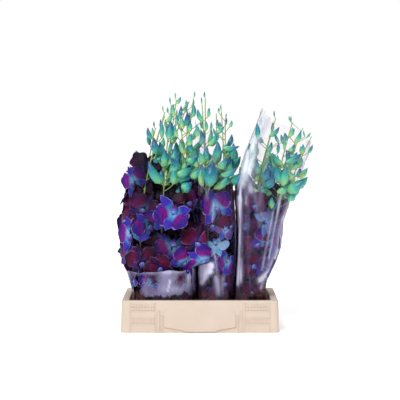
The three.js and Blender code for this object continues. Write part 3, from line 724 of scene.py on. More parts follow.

# %% The front buds
# Across and down of its neck, then of its tip; its width in the picture; its tone, from 0, green, to
# 1, blue, and 2, wine. Some buds that lie in shade get a tone near 1, so their dark blue is partly
# painted shade.
FRONT_BUDS = {
    "left": [
        (156.7, 154.7, 153.3, 137.5, 8.5, 0.85), (162, 138.8, 162, 121.5, 5.4, 0.4),
        (168.6, 140.5, 171.4, 121, 9.5, 0.8), (177.5, 137.5, 173.7, 124.5, 6, 0.25),
        (165, 153, 158.7, 142, 5.5, 0.85), (162.5, 167.5, 165.8, 148, 8.6, 0.62),
        (168.8, 164.5, 176.9, 147, 9.6, 0.55), (186, 160.6, 199.4, 157.2, 8.4, 0.68),
        (161.7, 184, 147, 161.5, 9.2, 0.6), (157.5, 171, 169, 168, 4.2, 0.05),
        (163, 184.5, 160.6, 169, 6.6, 0.75), (173.5, 185, 174.2, 165.8, 8.6, 0.42),
        (174.5, 173.8, 194.6, 168.6, 9.6, 0.5), (176.7, 180, 194.5, 176, 6.5, 1),
        (181, 187.6, 193, 184, 11.5, 0.78), (175.8, 192.8, 180, 186.5, 4.5, 0.9),
        (153.4, 194, 150.2, 184.6, 3.6, 0.8), (158.6, 161.5, 151.4, 158.4, 4.6, 1),
        (165.8, 122.4, 172.7, 113.2, 4.8, 0.2), (174.6, 115.5, 172.3, 104, 4.2, 0.3),
        (176.3, 103.6, 181, 97.2, 3.8, 0.35), (178.3, 119.9, 181.9, 105.4, 4.4, 0.95),
        (183.8, 107.8, 188.6, 101.8, 2.8, 0.4), (182.5, 111.2, 188.6, 105.6, 2.4, 0.6),
        (184.8, 126.6, 188.2, 111.4, 5.4, 1), (180.6, 128.4, 181.9, 116.4, 5, 0.15),
        (191.7, 117.4, 194.8, 104.8, 4.8, 0.6), (191.3, 107.5, 194.4, 100, 2.4, 0.7),
        (202.6, 121.6, 196.5, 109, 5.2, 0.55), (191.8, 153.2, 190.3, 138.6, 6.4, 1),
        (184.4, 155, 179, 140.4, 4.6, 0.05), (172, 139.4, 178.6, 136.8, 4, 0.6),
        (167.8, 113.4, 167.4, 107, 2.2, 0.5), (186.6, 142.6, 192.4, 133.8, 5.6, 0.35),
        (196, 137.4, 197, 124.4, 5, 0.3), (188.4, 133, 190, 119.6, 4.8, 0.35),
        (169.2, 152.6, 171.2, 140.6, 4.6, 0.4), (181.6, 171, 186, 158.2, 6, 0.3),
        (197.4, 168, 195.8, 152.6, 6, 0.3), (176, 126.4, 177.6, 113.6, 4, 0.5),
        (152.4, 176, 149, 166, 5, 0.5),
    ],
    "middle": [
        (207.5, 117.4, 208.6, 108, 3.2, 0.35), (218.8, 112.4, 218.8, 107.4, 2.2, 0.5),
        (210.4, 130.6, 211.4, 121.6, 2.8, 0.6), (216.5, 133.2, 225, 126.8, 4.4, 0.45),
        (229, 127.4, 232.4, 120.4, 3.2, 0.35), (225.8, 117.4, 226.6, 113.4, 1.6, 0.6),
        (208.2, 145.8, 217.8, 134.8, 7.4, 0.4), (200.8, 145, 201.8, 129, 5, 0.8),
        (203.4, 143.4, 203.9, 129.8, 4.2, 1), (206.7, 162.6, 206.7, 146, 7, 0.6),
        (213.6, 159.2, 219.4, 141.4, 8.6, 0.72), (222, 148.2, 240, 147.6, 5.6, 0.62),
        (222, 146.4, 228.4, 144.8, 2.8, 0.4), (217.3, 168.4, 227.4, 158.2, 7.2, 0.5),
        (210.2, 187, 212, 160.4, 14.2, 0.78), (202.6, 186.8, 200.6, 167.4, 6, 0.1),
        (220.2, 175.8, 238.8, 168.4, 6.4, 0.62), (214, 189.2, 230.4, 175.6, 7.6, 0.35),
        (217, 127.4, 217.6, 119.4, 3.6, 0.7), (218.8, 128.4, 220.6, 122, 3.6, 0.7),
        (213.6, 141.4, 219, 133.4, 4.6, 0.3), (205.4, 131.4, 206.6, 121, 3.6, 0.4),
        (224.6, 185.4, 229, 175, 4.8, 0.6),
    ],
    "right": [
        (269.4, 136.2, 280.4, 127.6, 5, 0.62), (278.8, 142, 274.4, 133.6, 3.2, 0.65),
        (284, 141.2, 286, 132.4, 4.8, 0.85), (289.2, 137, 293.2, 127.6, 4.2, 0.2),
        (291.4, 122.4, 288.1, 115.8, 1.6, 0.6), (294.4, 142.8, 302, 131, 5.2, 0.35),
        (305.4, 136.6, 303.2, 130.2, 1.8, 0.6), (306.5, 137.8, 311, 132.6, 2.2, 0.5),
        (308, 153.4, 312.8, 144.2, 3.4, 0.7), (268.2, 152, 271.4, 143.8, 4.2, 0.45),
        (265.8, 155.8, 270.2, 149.6, 5, 0.15), (278, 153.8, 278.4, 142, 3.8, 0.7),
        (287, 160.4, 287.5, 149.4, 4.8, 1), (288.2, 151, 294, 146.3, 4.2, 0.05),
        (285.6, 162.8, 302.2, 154.6, 7.4, 0.72), (290, 157.8, 298.6, 153, 5, 0.6),
        (303.4, 153.6, 300.3, 146.2, 3.8, 0.25), (274.4, 173, 267.5, 163.4, 6.4, 0.95),
        (282.6, 184, 283, 169.2, 9.6, 2), (277, 193, 292.2, 180.8, 8.6, 0.5),
        (289, 180.4, 295.8, 172.6, 4.4, 0.05), (253.4, 188.8, 264.2, 200.6, 7.4, 0.25),
        (270.2, 209, 271.8, 197, 7, 0.15), (267.8, 207, 279.8, 204, 6.6, 0.95),
        (283.4, 193.8, 288.4, 198.6, 4.6, 0.15), (289, 202, 293.6, 187.6, 8, 0.7),
        (296.5, 175.4, 301, 167.8, 4.4, 1), (254, 182.4, 262, 170, 4.6, 0),
        (258.4, 179, 266.4, 167.6, 4.4, 0.05), (254.6, 168.4, 257.2, 159.4, 3, 0.8),
        (258, 141.4, 257, 122.4, 6, 0.6), (249, 153, 250, 143, 5, 0.8), (262, 176, 268, 160, 4, 0),
        (276, 180, 279.6, 168, 4.6, 0.1), (284, 150, 285, 139, 3.6, 0.1), (271, 186, 268, 174, 5, 0.3),
        (280, 166, 277, 155, 4.2, 0.2), (293, 170, 297.6, 160.6, 4.4, 0.2),
    ],
}
print("front buds:", {bunch: len(rows) for bunch, rows in FRONT_BUDS.items()})


# %% Turn a flower to face a direction
def direction(azimuth, elevation):
    """The way from the middle towards an azimuth and an elevation, in degrees. Azimuth -90 is in front."""
    around, up = math.radians(azimuth), math.radians(elevation)
    return Vector((math.cos(up) * math.cos(around), math.cos(up) * math.sin(around), math.sin(up)))


def facing(azimuth, elevation, roll):
    """The turn of a flower that faces a direction, in degrees."""
    z = direction(azimuth, elevation)
    x = Vector((0, 0, 1)).cross(z).normalized()
    turn = Matrix((x, z.cross(x), z)).transposed()
    return np.array(turn @ Matrix.Rotation(math.radians(roll), 3, "Z"))


print("a flower that faces the camera looks along", facing(-90, 0, 0)[:, 2].round(3))


# %% Let them take the nearest ones' places
NEAR = 45
HIDES_WITHIN = 30


def nearest_spray(bunch, x, y, z):
    """The spray of a bunch whose stem passes a point most closely."""
    def off(name):
        stem = stem_point(name, min(z, STEMS[name][2][2]))
        return math.hypot(stem.x - x, stem.y - y)

    return min([name for name in STEMS if name.startswith(bunch)], key=off)


def leave_out(bunch, kind, point):
    """Drops the solid flower (kind 0) or bud (kind 1) nearest to a point, if any is near."""
    found = [
        (np.linalg.norm(item[1] - point), name, i)
        for name, kept in sprays.items() if name.startswith(bunch) and len(kept[kind]) > 1
        for i, item in enumerate(kept[kind])
    ]
    distance, name, i = min(found)
    if distance < NEAR:
        del sprays[name][kind][i]


def in_the_way(point, depth):
    """Whether something at a point stands before a front flower, or behind it by less than a depth."""
    return any(
        math.hypot(point[0] - spot[0], point[2] - spot[2]) < HIDES_WITHIN and point[1] < spot[1] + depth
        for spot in front_spots
    )


print("a solid one makes way within", NEAR, "mm")


# %% Place the front flowers
by_hand = {name: ([], []) for name in STEMS}
front_spots = []
front_flowers = [(bunch, *row) for bunch, rows in FRONT_FLOWERS.items() for row in rows]
for bunch, across, down, y, azimuth, elevation, roll, radius, tone in front_flowers:
    x, z = seen_at(across, down, y)
    middle = np.array([x, y, z], float)
    front_spots.append(middle)
    leave_out(bunch, 0, middle)
    flower = (radius, middle, facing(azimuth, elevation, roll), tone)
    by_hand[nearest_spray(bunch, x, y, z)][0].append(flower)
print("solid flowers kept:", sum(len(flowers) for flowers, _ in sprays.values()))

# %% Place the front buds
# A bud that looks wide stands near: y falls from the first number by the second for each pixel of
# its width. A pixel is about 1.8 mm wide there.
BUD_DEPTHS = {"left": (-44, 2.6), "middle": (-44, 2.6), "right": (-34, 3)}
PIXEL = 1.8
BUD_WIDTH = 0.46
MOST_GIRTH = 2.0
BUD_LEAN = 0.25
front_buds = [(bunch, *row) for bunch, rows in FRONT_BUDS.items() for row in rows]
for bunch, across, down, tip_across, tip_down, width, tone in front_buds:
    back, nearer = BUD_DEPTHS[bunch]
    y = round(back - nearer * width)
    x, z = seen_at(across, down, y)
    tip_x, tip_z = seen_at(tip_across, tip_down, y)
    neck = np.array([x, y, z], float)
    leave_out(bunch, 1, neck)
    way = np.array([tip_x - x, 0, tip_z - z], float)
    length = np.linalg.norm(way)
    way[1] = -BUD_LEAN * length * math.sin(x + z)
    way /= np.linalg.norm(way)
    girth = min(round(PIXEL * width) / (BUD_WIDTH * length), MOST_GIRTH)
    by_hand[nearest_spray(bunch, x, y, z)][1].append((length, neck, way, girth, tone))
print("solid buds kept:", sum(len(buds) for _, buds in sprays.values()))

# %% [markdown]
# ## The flowers' colours
#
# The petals are dyed a deep violet-blue that turns to magenta near the middle, and they have a thin
# pale rim: partly the dye's own paler edge, partly painted sheen. The sepals keep some cyan at their
# bases, and the backs of all the blades are paler. The marks written on each blade say how far along
# it a point is, how near its rim, and on which side, so the colours follow the blade wherever it
# stands. Each flower has one more mark, its tone, which turns some of them towards wine red, as the
# dye does. The wine ones lose most of the cyan, and a few flowers with a tone below 0 are pale all
# over. The last mark says how deep in the bunch a point is, and it paints shade: near black in the
# thick of the bunch, and brownish low down in the crate.

# %% The bloom material
def bloom_look():
    look = Look("bloom", Roughness=0.5, Specular_IOR_Level=0.12)
    along, edge, back = look.attribute("along"), look.attribute("edge"), look.attribute("back")
    sepal, lip, tone = look.attribute("sepal"), look.attribute("lip"), look.attribute("tone")
    patches = look.noise(look.place(), 90, 4)
    veins = look.noise(look.place((1, 1, 0.35)), 420, 2)
    wander = 0.16 * (patches - 0.5)
    wine = (tone + wander).between(0.3, 0.64)
    petal = look.blend(wine, paint(46, 22, 126), paint(54, 6, 34))
    heart = (along + wander).between(0.12, 0.34) * (1 - (along + 2 * wander).between(0.42, 0.8))
    magenta = look.blend(wine, paint(142, 20, 136), paint(112, 10, 66))
    petal = look.blend(heart * (0.65 + 0.1 * wine), petal, magenta)
    petal = look.blend(veins.between(0.42, 0.68) * 0.5, petal, paint(12, 4, 36))
    base = look.blend(wine, paint(136, 186, 236), paint(92, 40, 120))
    petal = look.blend((along + wander).between(0.04, 0.36), base, petal)
    blue = look.blend(wine, paint(54, 40, 156), paint(50, 10, 50))
    base = look.blend(wine, paint(76, 176, 212), paint(44, 34, 96))
    slip = look.blend((along + wander).between(0.02, 0.56), base, blue)
    front = look.blend(sepal, petal, slip)
    # A thin pale rim on the blades' fronts, partly the dye's own paler edge and partly painted sheen.
    rim = edge.between(0.86, 1.0) * (1 - back) * patches.between(0.36, 0.56)
    front = look.blend(rim * (0.85 - 0.55 * wine), front, paint(172, 166, 246))
    pale = look.blend(sepal * 0.75 + 0.03, paint(40, 16, 76), paint(88, 142, 180))
    both = look.blend(back * 0.8, front, pale)
    ghost = look.blend(sepal, paint(140, 176, 216), paint(104, 168, 204))
    both = look.blend((1 - tone.between(-0.5, -0.1)) * 0.8, both, ghost)
    throat = look.ramp(along, [
        (0.0, paint(140, 190, 226)), (0.3, paint(92, 110, 196)), (0.7, paint(92, 26, 116)),
        (1.0, paint(36, 8, 54)),
    ])
    colour = look.blend(lip.between(0.2, 0.4), both, throat)
    # Painted shade: the deep mark darkens a point to near black in the thick of the bunch, and to a warm
    # brown shade low down in the crate.
    low = 1 - look.height(look.place(), "Z").between(0.06, 0.085)
    painted_shade = look.blend(low, paint(12, 5, 22), paint(92, 58, 50))
    look.feed("Base Color", look.blend(look.attribute("deep") * 0.94, colour, painted_shade))
    look.bump(veins, 0.3, 0.0008)
    return look.material


BLOOM = bloom_look()
print("bloom material:", len(BLOOM.node_tree.nodes), "nodes")

# %% [markdown]
# ## The buds' and stems' colours
#
# A bud is yellow-green where it joins its stalk and turns teal and then blue towards the tip,
# because the dye rises through it. Darker and lighter buds take turns. The stems are a yellower
# green, brownish low down.

# %% The bud and stem materials
def bud_look():
    look = Look("bud", Roughness=0.36, Coat_Weight=0.12, Coat_Roughness=0.3)
    along, tone = look.attribute("along"), look.attribute("tone")
    patches = look.noise(look.place(), 160, 3)
    streaks = look.noise(look.place((1, 1, 0.3)), 260, 2)
    dyed = 0.92 * along + 0.62 * (tone - 0.5) + 0.3 * (patches - 0.5) + 0.2 * (streaks - 0.5)
    colour = look.ramp(dyed, [
        (0.0, paint(166, 206, 128)), (0.24, paint(106, 192, 142)), (0.46, paint(54, 162, 146)),
        (0.72, paint(26, 116, 142)), (1.0, paint(18, 74, 120)),
    ])
    colour = look.blend(patches.between(0.6, 0.75) * 0.3, colour, paint(186, 224, 206))
    look.feed("Base Color", look.blend(tone.between(1.3, 1.8), colour, paint(50, 10, 50)))
    look.bump(streaks, 0.15, 0.0004)
    return look.material


def stem_look():
    look = Look("stem", Roughness=0.5)
    place = look.place()
    up = look.height(place, "Z")
    patches = look.noise(look.place((1, 1, 0.25)), 120, 3)
    colour = look.ramp(up * 2.2 + 0.25 * (patches - 0.5), [
        (0.1, paint(96, 88, 50)), (0.45, paint(86, 92, 70)), (0.62, paint(132, 168, 84)),
        (0.95, paint(160, 186, 104)),
    ])
    look.feed("Base Color", colour)
    look.bump(patches, 0.3, 0.0005)
    return look.material


BUD_LOOK = bud_look()
STEM_LOOK = stem_look()
print("bud and stem materials are ready")

# %% [markdown]
# ## Dress the sprays
#
# Each spray becomes three pieces: its flowers, its buds, and its stem with all the short stalks.
# Every flower of the solid is copied from one of the flowers made above, turned as the star says.
# In the thick of a bunch the real flowers overlap, which the solids can't, so some more flowers
# stand between them, and others lie flat against the next bunch. More buds fill the lower part of
# the green stems, and the youngest buds, at the top, are the slimmest. The front flowers and buds
# join them. Last, the film's cross-sections press the petals in.

# %% Make a piece out of a mesh
def piece(name, mesh, material, node):
    """Puts a mesh in the scene as a piece that stands for a solid."""
    made = bpy.data.objects.new(name, mesh)
    mesh.name = name
    mesh.materials.clear()
    mesh.materials.append(material)
    bpy.context.collection.objects.link(made)
    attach(made, "root")
    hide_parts(node)
    return made


# %% More flowers between the solid ones
BUNCH_MIDDLE = {"left": -70, "middle": 29, "right": 109}
FLOWER_STEP = 15
FLOWER_REACH = 24
FLOWER_RISE = 9
SMALLEST_FLOWER = 34


def fill_in(name, flowers, chance):
    """Flowers for the gaps along a stem, as (radius, middle, turn)."""
    bunch = name.split("_")[0]
    heights = sorted(middle[2] for _, middle, _ in flowers)
    belly = STEMS[name][1]
    outward = math.degrees(math.atan2(belly[1], belly[0] - BUNCH_MIDDLE[bunch]))
    added = []
    side = 1
    for z in np.arange(52.0, max(heights) - 8, FLOWER_STEP):
        side = -side
        away = outward + side * chance.uniform(20, 75)
        if min(abs(z - h) for h in heights) < 8:
            continue
        reach = Vector((math.cos(math.radians(away)), math.sin(math.radians(away)), 0))
        middle = stem_point(name, z - FLOWER_RISE) + reach * FLOWER_REACH + Vector((0, 0, FLOWER_RISE))
        middle = press_in(np.array([middle]), bunch)[0]
        turn = facing(away + chance.uniform(-25, 25), chance.uniform(-8, 26), chance.uniform(-40, 40))
        added.append((chance.uniform(31, 36), middle, turn))
    return added


print("a flower every", FLOWER_STEP, "mm of stem, where there is room")

# %% Flowers pressed flat against the next bunch
WALLS = [("left", 1), ("middle", -1), ("middle", 1), ("right", -1), ("right", 1)]
WALL_LOW, WALL_TOP, WALL_STEP = 46, 250, 30
WALL_DEPTHS = (-22, 24)
WALL_FLOWER = 34


def wall_flowers(bunch, side, chance):
    """Flowers along one side of a bunch, and some behind them that close it, as (radius, middle, turn)."""
    added = []
    for z in np.arange(WALL_LOW, WALL_TOP, WALL_STEP):
        middle, half_x, _ = section_at(SLEEVES[bunch], z)
        for y in WALL_DEPTHS:
            centre = np.array([middle + side * (half_x - 4), y + chance.uniform(-6, 6), z + 0.3 * y])
            azimuth = 90 - 90 * side + chance.uniform(-15, 15)
            turn = facing(azimuth, chance.uniform(-5, 15), chance.uniform(-60, 60))
            added.append((WALL_FLOWER, centre, turn))
        behind = np.array([middle + side * (half_x - 15), 6, z + 12])
        turn = facing(-90, chance.uniform(-5, 15), chance.uniform(-60, 60))
        added.append((WALL_FLOWER - 4, behind, turn))
    return added


against = {name: [] for name in STEMS}
for number, (bunch, side) in enumerate(WALLS):
    for flower in wall_flowers(bunch, side, random.Random(20 + number)):
        against[nearest_spray(bunch, *flower[1])].append(flower)
print("flowers against the next bunch:", sum(len(found) for found in against.values()))


# %% More buds up the stems
BUD_STEP = 8.5
FULL_SHARE = 0.45
LOWEST_BUD = 205


def more_buds(name, flowers, buds, chance):
    """Buds for the gaps along the upper stem, as (length, neck, way)."""
    top = STEMS[name][2][2]
    low = max([middle[2] for _, middle, _ in flowers] + [LOWEST_BUD]) + 8
    heights = [neck[2] for _, neck, _ in buds]
    added = []
    for z in np.arange(low, top - 12, BUD_STEP):
        t = (z - low) / (top - low)
        if t > FULL_SHARE or min(abs(z - h) for h in heights) < 3:
            continue
        away = math.radians(chance.uniform(0, 360))
        rise = math.radians(20 + 45 * t + chance.uniform(-15, 25))
        flat = Vector((math.cos(away), math.sin(away), 0))
        neck = stem_point(name, z) + flat * (13 - 8 * t) + Vector((0, 0, 4))
        way = flat * math.cos(rise) + Vector((0, 0, math.sin(rise)))
        added.append(((45 - 32 * t) * chance.uniform(0.85, 1.1), np.array(neck), np.array(way)))
    return added


print("a bud every", BUD_STEP, "mm, up to", FULL_SHARE, "of a stem's green part")


# %% The flowers of a spray
# The petals' painted shade grows inward from just inside the sleeve's skin, and below a height low in the
# crate, where it stops short of full.
SHADE_STARTS, SHADE_SPAN = 0.98, 0.32
FOOT_STARTS, FOOT_SPAN, FOOT_MOST = 80, 18, 0.9


def bloom_piece(name, flowers, chance):
    bm = bmesh.new()
    add_marks(bm, MARKS)
    for radius, middle, turn, tone in flowers:
        kind = FLOWERS[chance.randrange(FLOWER_KINDS)]
        place = Matrix(turn.tolist()).to_4x4() @ Matrix.Scale(radius, 4)
        add_mesh(bm, kind, Matrix.Translation(middle) @ place, {"tone": tone})
    mesh = as_mesh(bm, name)
    points = np.empty(3 * len(mesh.vertices), np.float32)
    mesh.vertices.foreach_get("co", points)
    bunch = name.split("_")[0]
    pressed = press_in(points.reshape(-1, 3).astype(float), bunch)
    mesh.vertices.foreach_set("co", (pressed * MM).astype(np.float32).ravel())
    # The deep mark is painted shade: darker deep in the bunch and low in the crate.
    deep = np.clip((SHADE_STARTS - share_out(pressed, bunch)) / SHADE_SPAN, 0, 1)
    deep = np.maximum(deep, np.clip((FOOT_STARTS - pressed[:, 2]) / FOOT_SPAN, 0, FOOT_MOST))
    mesh.attributes["deep"].data.foreach_set("value", deep.astype(np.float32))
    mesh.shade_smooth()
    return piece(f"{name}_blooms", mesh, BLOOM, name)


print("petals are darkest from", round(SHADE_STARTS - SHADE_SPAN, 2), "of the way out inward")


# %% The buds of a spray
def bud_piece(name, buds, chance):
    bm = bmesh.new()
    add_marks(bm, BUD_MARKS)
    for length, neck, way, girth, tone in buds:
        turn = Vector(way).to_track_quat("Z", "X").to_matrix().to_4x4()
        spin = Matrix.Rotation(chance.uniform(-0.6, 0.6), 4, "Z")
        size = Matrix.Diagonal((length * girth, length * girth, length, 1))
        add_mesh(bm, BUD, Matrix.Translation(neck) @ turn @ spin @ size, {"tone": tone})
    bmesh.ops.scale(bm, vec=(MM, MM, MM), verts=bm.verts)
    mesh = as_mesh(bm, name)
    mesh.shade_smooth()
    return piece(f"{name}_buds", mesh, BUD_LOOK, name)


print("marks on a bud's points:", ", ".join(BUD_MARKS))


# %% The stem with its stalks, as round strands
def strand(curve, points, radii):
    """One round strand through points, in millimetres."""
    line = curve.splines.new("POLY")
    line.points.add(len(points) - 1)
    for spot, point, radius in zip(line.points, points, radii):
        spot.co = (*(point * MM), 1)
        spot.radius = radius


def bow(start, middle, end):
    """Six points on a curve that leaves start towards middle and comes to end."""
    shares = [i / 5 for i in range(6)]
    return [(1 - t) ** 2 * start + 2 * t * (1 - t) * middle + t * t * end for t in shares]


STEM_POINTS = 26
STEM_RADII = (2.3, 0.9)
FLOWER_STALK = (1.3, 1.1, 1.0, 1.0, 1.2, 1.7)
BUD_STALK = (1.2, 1.0, 0.95, 0.95, 1.05, 1.3)


def stem_piece(name, flowers, buds):
    curve = bpy.data.curves.new(name, "CURVE")
    curve.dimensions = "3D"
    curve.bevel_depth = MM
    curve.bevel_resolution = 1
    curve.use_fill_caps = True
    top = STEMS[name][2][2]
    heights = np.linspace(FOOT_HEIGHT, top, STEM_POINTS)
    strand(curve, [stem_point(name, z) for z in heights], np.linspace(*STEM_RADII, STEM_POINTS))
    bunch = name.split("_")[0]
    for _, middle, turn, _ in flowers:
        middle = press_in(np.array([middle - 2 * turn[:, 2]]), bunch)[0]
        behind = Vector(middle)
        root = stem_point(name, behind.z - FLOWER_RISE - 6)
        middle = root.lerp(behind, 0.6) + Vector((0, 0, 3)) - Vector(turn[:, 2]) * 6
        strand(curve, bow(root, middle, behind), FLOWER_STALK)
    for length, neck, way, girth, _ in buds:
        neck = Vector(neck)
        away = (neck - stem_point(name, neck.z)).to_2d().length
        root = stem_point(name, min(neck.z - 0.6 * away - 1, top - 2))
        end = neck + Vector(way) * 0.06 * length
        middle = root.lerp(neck, 0.55) - Vector(way) * 0.1 * length + Vector((0, 0, 1))
        thick = 0.5 + 0.014 * length * girth
        strand(curve, bow(root, middle, end), [thick * k for k in BUD_STALK])
    holder = bpy.data.objects.new(name, curve)
    bpy.context.collection.objects.link(holder)
    mesh = bpy.data.meshes.new_from_object(holder)
    bpy.data.objects.remove(holder)
    mesh.shade_smooth()
    return piece(f"{name}_stem", mesh, STEM_LOOK, name)


print("a stem is", 2 * STEM_RADII[0], "mm thick at its foot and", 2 * STEM_RADII[1], "mm at its tip")


# %% All the sprays
def slimmer(z):
    """How slim a bud at height z is: the youngest ones, at the top, are the slimmest."""
    return float(np.interp(z, [290, 380], [1.0, 0.55]))


FLOWER_CLEAR = 14
BUD_CLEAR = 60
ENLARGE = 1.04
faces = 0
for number, (name, (flowers, buds)) in enumerate(sprays.items()):
    chance = random.Random(70 + number)
    buds = buds + more_buds(name, flowers, buds, chance)
    flowers = flowers + fill_in(name, flowers, chance) + against[name]
    flowers = [
        (max(ENLARGE * radius, SMALLEST_FLOWER), middle, turn, chance.random())
        for radius, middle, turn in flowers if not in_the_way(middle, FLOWER_CLEAR)
    ] + by_hand[name][0]
    buds = [
        (length, neck, way, chance.uniform(0.9, 1.15) * slimmer(neck[2]), chance.random())
        for length, neck, way in buds if not in_the_way(neck, BUD_CLEAR)
    ] + by_hand[name][1]
    made = [bloom_piece(name, flowers, chance), bud_piece(name, buds, chance)]
    made.append(stem_piece(name, flowers, buds))
    faces += sum(len(one.data.polygons) for one in made)
print("faces in the sprays:", faces)

# %% [markdown]
# ## The film sleeves
#
# Film is one thin layer, so a sheet without thickness is right. A flat grid is rolled into a tube
# and its two long edges are merged. Long soft creases run up it, made from smooth noise that is
# stretched upward, and small sharp crumples gather towards the top. Both push inward, towards the
# flowers. Where two bunches meet, the film stands loose of them, so its corners there are squarer.
#
# Clear film is hardly seen, except where it is folded, bundled or welded: there it turns milky and
# catches the light. So every point gets a mark that says how white it is, partly the film's own
# milkiness and partly painted highlight. The folds and highlights in front are a list of lines, each
# with a width and a strength, and a strength below 0 clears a window. A pale weld runs up both sides.

# %% Where the film is folded white, and where highlights are painted
# In front: from x, z to x, z in millimetres, half a width, and how white, or how clear below 0. The
# white is partly folded film and partly painted highlight, as at the left corner and over the shaded
# seams between bunches.
FOLDS_AND_HIGHLIGHTS = {
    "left": [(-142, 70, -138, 108, 8, 0.8), (-120, 106, -10, 108, 4, 0.4), (-66, 76, -26, 78, 7, 0.3),
             (-58, 72, -54, 92, 2, 0.8), (-26, 84, -12, 108, 10, 0.6), (-104, 90, -84, 82, 13, -0.4),
             (-124, 76, -116, 70, 7, -0.5), (-34, 96, -28, 88, 8, -0.3)],
    "middle": [(-6, 110, 20, 118, 6, 1.4), (-4, 98, 16, 110, 8, 1.4), (2, 86, 10, 98, 6, 1.0),
               (30, 96, 34, 66, 6, 0.6), (42, 98, 40, 66, 4, 0.4), (27, 137, 32, 100, 2.5, 0.5),
               (9, 382, 2, 254, 4, 0.35), (30, 350, 12, 240, 3, 0.25), (26, 236, 22, 200, 1.6, 0.6),
               (67, 60, 68, 250, 3, 0.7)],
    "right": [(67, 84, 71, 240, 6, 0.9), (73, 88, 73, 130, 4, 0.7), (72, 240, 74, 270, 3, 0.8),
              (76, 268, 92, 330, 15, 0.8), (92, 330, 116, 398, 11, 0.8), (84, 262, 82, 230, 4, 0.4),
              (76, 300, 92, 254, 8, 0.6), (100, 390, 92, 300, 4, 0.6), (96, 262, 108, 190, 3, 0.3),
              (110, 92, 124, 104, 7, 0.9), (112, 76, 118, 92, 6, 0.5),
              (132, 106, 146, 150, 12, 0.7), (146, 150, 155, 200, 11, 0.75), (155, 200, 176, 256, 9, 0.7),
              (176, 256, 207, 338, 7, 0.5), (132, 217, 112, 111, 2.5, 0.5), (146, 246, 124, 130, 2.5, 0.6),
              (124, 328, 104, 220, 3, 0.25)],
}


def fold_white_and_highlight(bunch, x, z):
    """How white the folds and painted highlights in front make the film at x, z."""
    white = 0.0
    for x0, z0, x1, z1, width, strength in FOLDS_AND_HIGHLIGHTS[bunch]:
        run = Vector((x1 - x0, z1 - z0))
        share = max(0.0, min(1.0, (Vector((x, z)) - Vector((x0, z0))).dot(run) / run.length_squared))
        off = (Vector((x, z)) - Vector((x0, z0)) - share * run).length / width
        mark = strength * math.exp(-off * off)
        white = max(white, mark) if strength > 0 else white + mark
    return white


print("folds in front:", {bunch: len(rows) for bunch, rows in FOLDS_AND_HIGHLIGHTS.items()})


# %% Roll a sheet of film round a bunch
# A loose corner's sign is its side, and so is the outer side's. The folds and painted highlights in
# front fade out towards an outer side sooner than towards a side between two bunches.
FILM_ROUND = 168
FILM_GAP = 0.4
RAGGED = 3.5
LOOSE_CORNER = {"left": 0, "middle": 6, "right": -6}
OUTER_SIDE = {"left": -1, "middle": 0, "right": 1}
FADE_OUTER, FADE_INNER, FADE_SPAN = 0.25, -0.05, 0.3
WELD = 0.35
WELD_HALF = 0.04


def film_mesh(bunch, rows, crease, crumple):
    sleeve = SLEEVES[bunch]
    low = sleeve["sections"][0][0]
    bm = bmesh.new()
    bmesh.ops.create_grid(bm, x_segments=FILM_ROUND, y_segments=rows, size=0.5)
    white = bm.verts.layers.float.new("white")
    for v in bm.verts:
        angle = 2 * math.pi * (v.co.x + 0.5)
        c, s = math.cos(angle), math.sin(angle)
        t = v.co.y + 0.5
        ragged = RAGGED * noise.noise(Vector((3 * c, 3 * s, 5.1)))
        z = low + t * (sleeve["top"] + sleeve["slant"] * c - 1 + ragged - low)
        middle, half_x, half_y = section_at(sleeve, z)
        fold = noise.noise(Vector((2.6 * c, 2.6 * s, z / 140)))
        fold += 0.5 * noise.noise(Vector((7 * c, 7 * s, z / 70)))
        small = abs(noise.noise(Vector((11 * c, 11 * s, z / 16 + 9))))
        inward = crease * (0.5 + fold) * (0.4 + 0.6 * t) + crumple * small * (0.35 + t * t)
        inward = max(0.0, inward) + FILM_GAP
        power = SLEEVE_POWER + max(0.0, LOOSE_CORNER[bunch] * c) * max(0.0, s)
        x = math.copysign(abs(c) ** (2 / power), c) * (half_x - inward)
        y = math.copysign(abs(s) ** (2 / power), s) * (half_y - inward)
        x += middle
        start = FADE_OUTER if c * OUTER_SIDE[bunch] > 0 else FADE_INNER
        seen = max(0.0, min(1.0, (s - start) / FADE_SPAN))
        weld = WELD * (abs(s) < WELD_HALF)
        v[white] = seen * fold_white_and_highlight(bunch, x, z) + (1 - seen) * max(0.3 * fold, weld)
        v.co = (x * MM, -y * MM, z * MM)
    bmesh.ops.remove_doubles(bm, verts=bm.verts, dist=1e-5)
    bmesh.ops.recalc_face_normals(bm, faces=bm.faces)
    mesh = as_mesh(bm, bunch)
    mesh.shade_smooth()
    return mesh


print("points round a sleeve:", FILM_ROUND)


# %% The film's material
HAZE_STEP = 0.004


def film_look(name, haze, streak, foot):
    look = Look(name, Roughness=0.34, IOR=1.45)
    white = look.attribute("white")
    up = look.height(look.place(), "Z")
    long_streaks = look.noise(look.place((1, 1, 0.05)), 110, 4).between(0.52, 0.72)
    crumples = look.noise(look.place((1, 1, 0.4)), 70, 5)
    uneven = 0.4 + 1.2 * look.noise(look.place(), 22, 2).between(0.38, 0.6)
    # How much the film shows: its haze, streaks and crumples, and more where the white mark is, which is
    # partly milky folds and partly painted highlight.
    cover = haze * uneven + streak * long_streaks + 0.4 * streak * crumples.between(0.52, 0.7)
    cover = cover + white * (0.3 + 1.4 * crumples)
    hazy = (up + 0.04 * (crumples - 0.5)).between(foot, foot + HAZE_STEP)
    look.feed("Alpha", cover * (0.08 + 0.92 * hazy))
    # Painted highlight: where the white mark is strong the film is painted pale, and paler higher up.
    bright = (white * (0.4 + 1.6 * crumples)).between(0.25, 1.0)
    top = look.blend(up.between(0.2, 0.33), paint(206, 202, 228), paint(226, 238, 246))
    look.feed("Base Color", look.blend(bright, paint(156, 150, 190), top))
    look.bump(crumples, 0.5, 0.002)
    return look.material


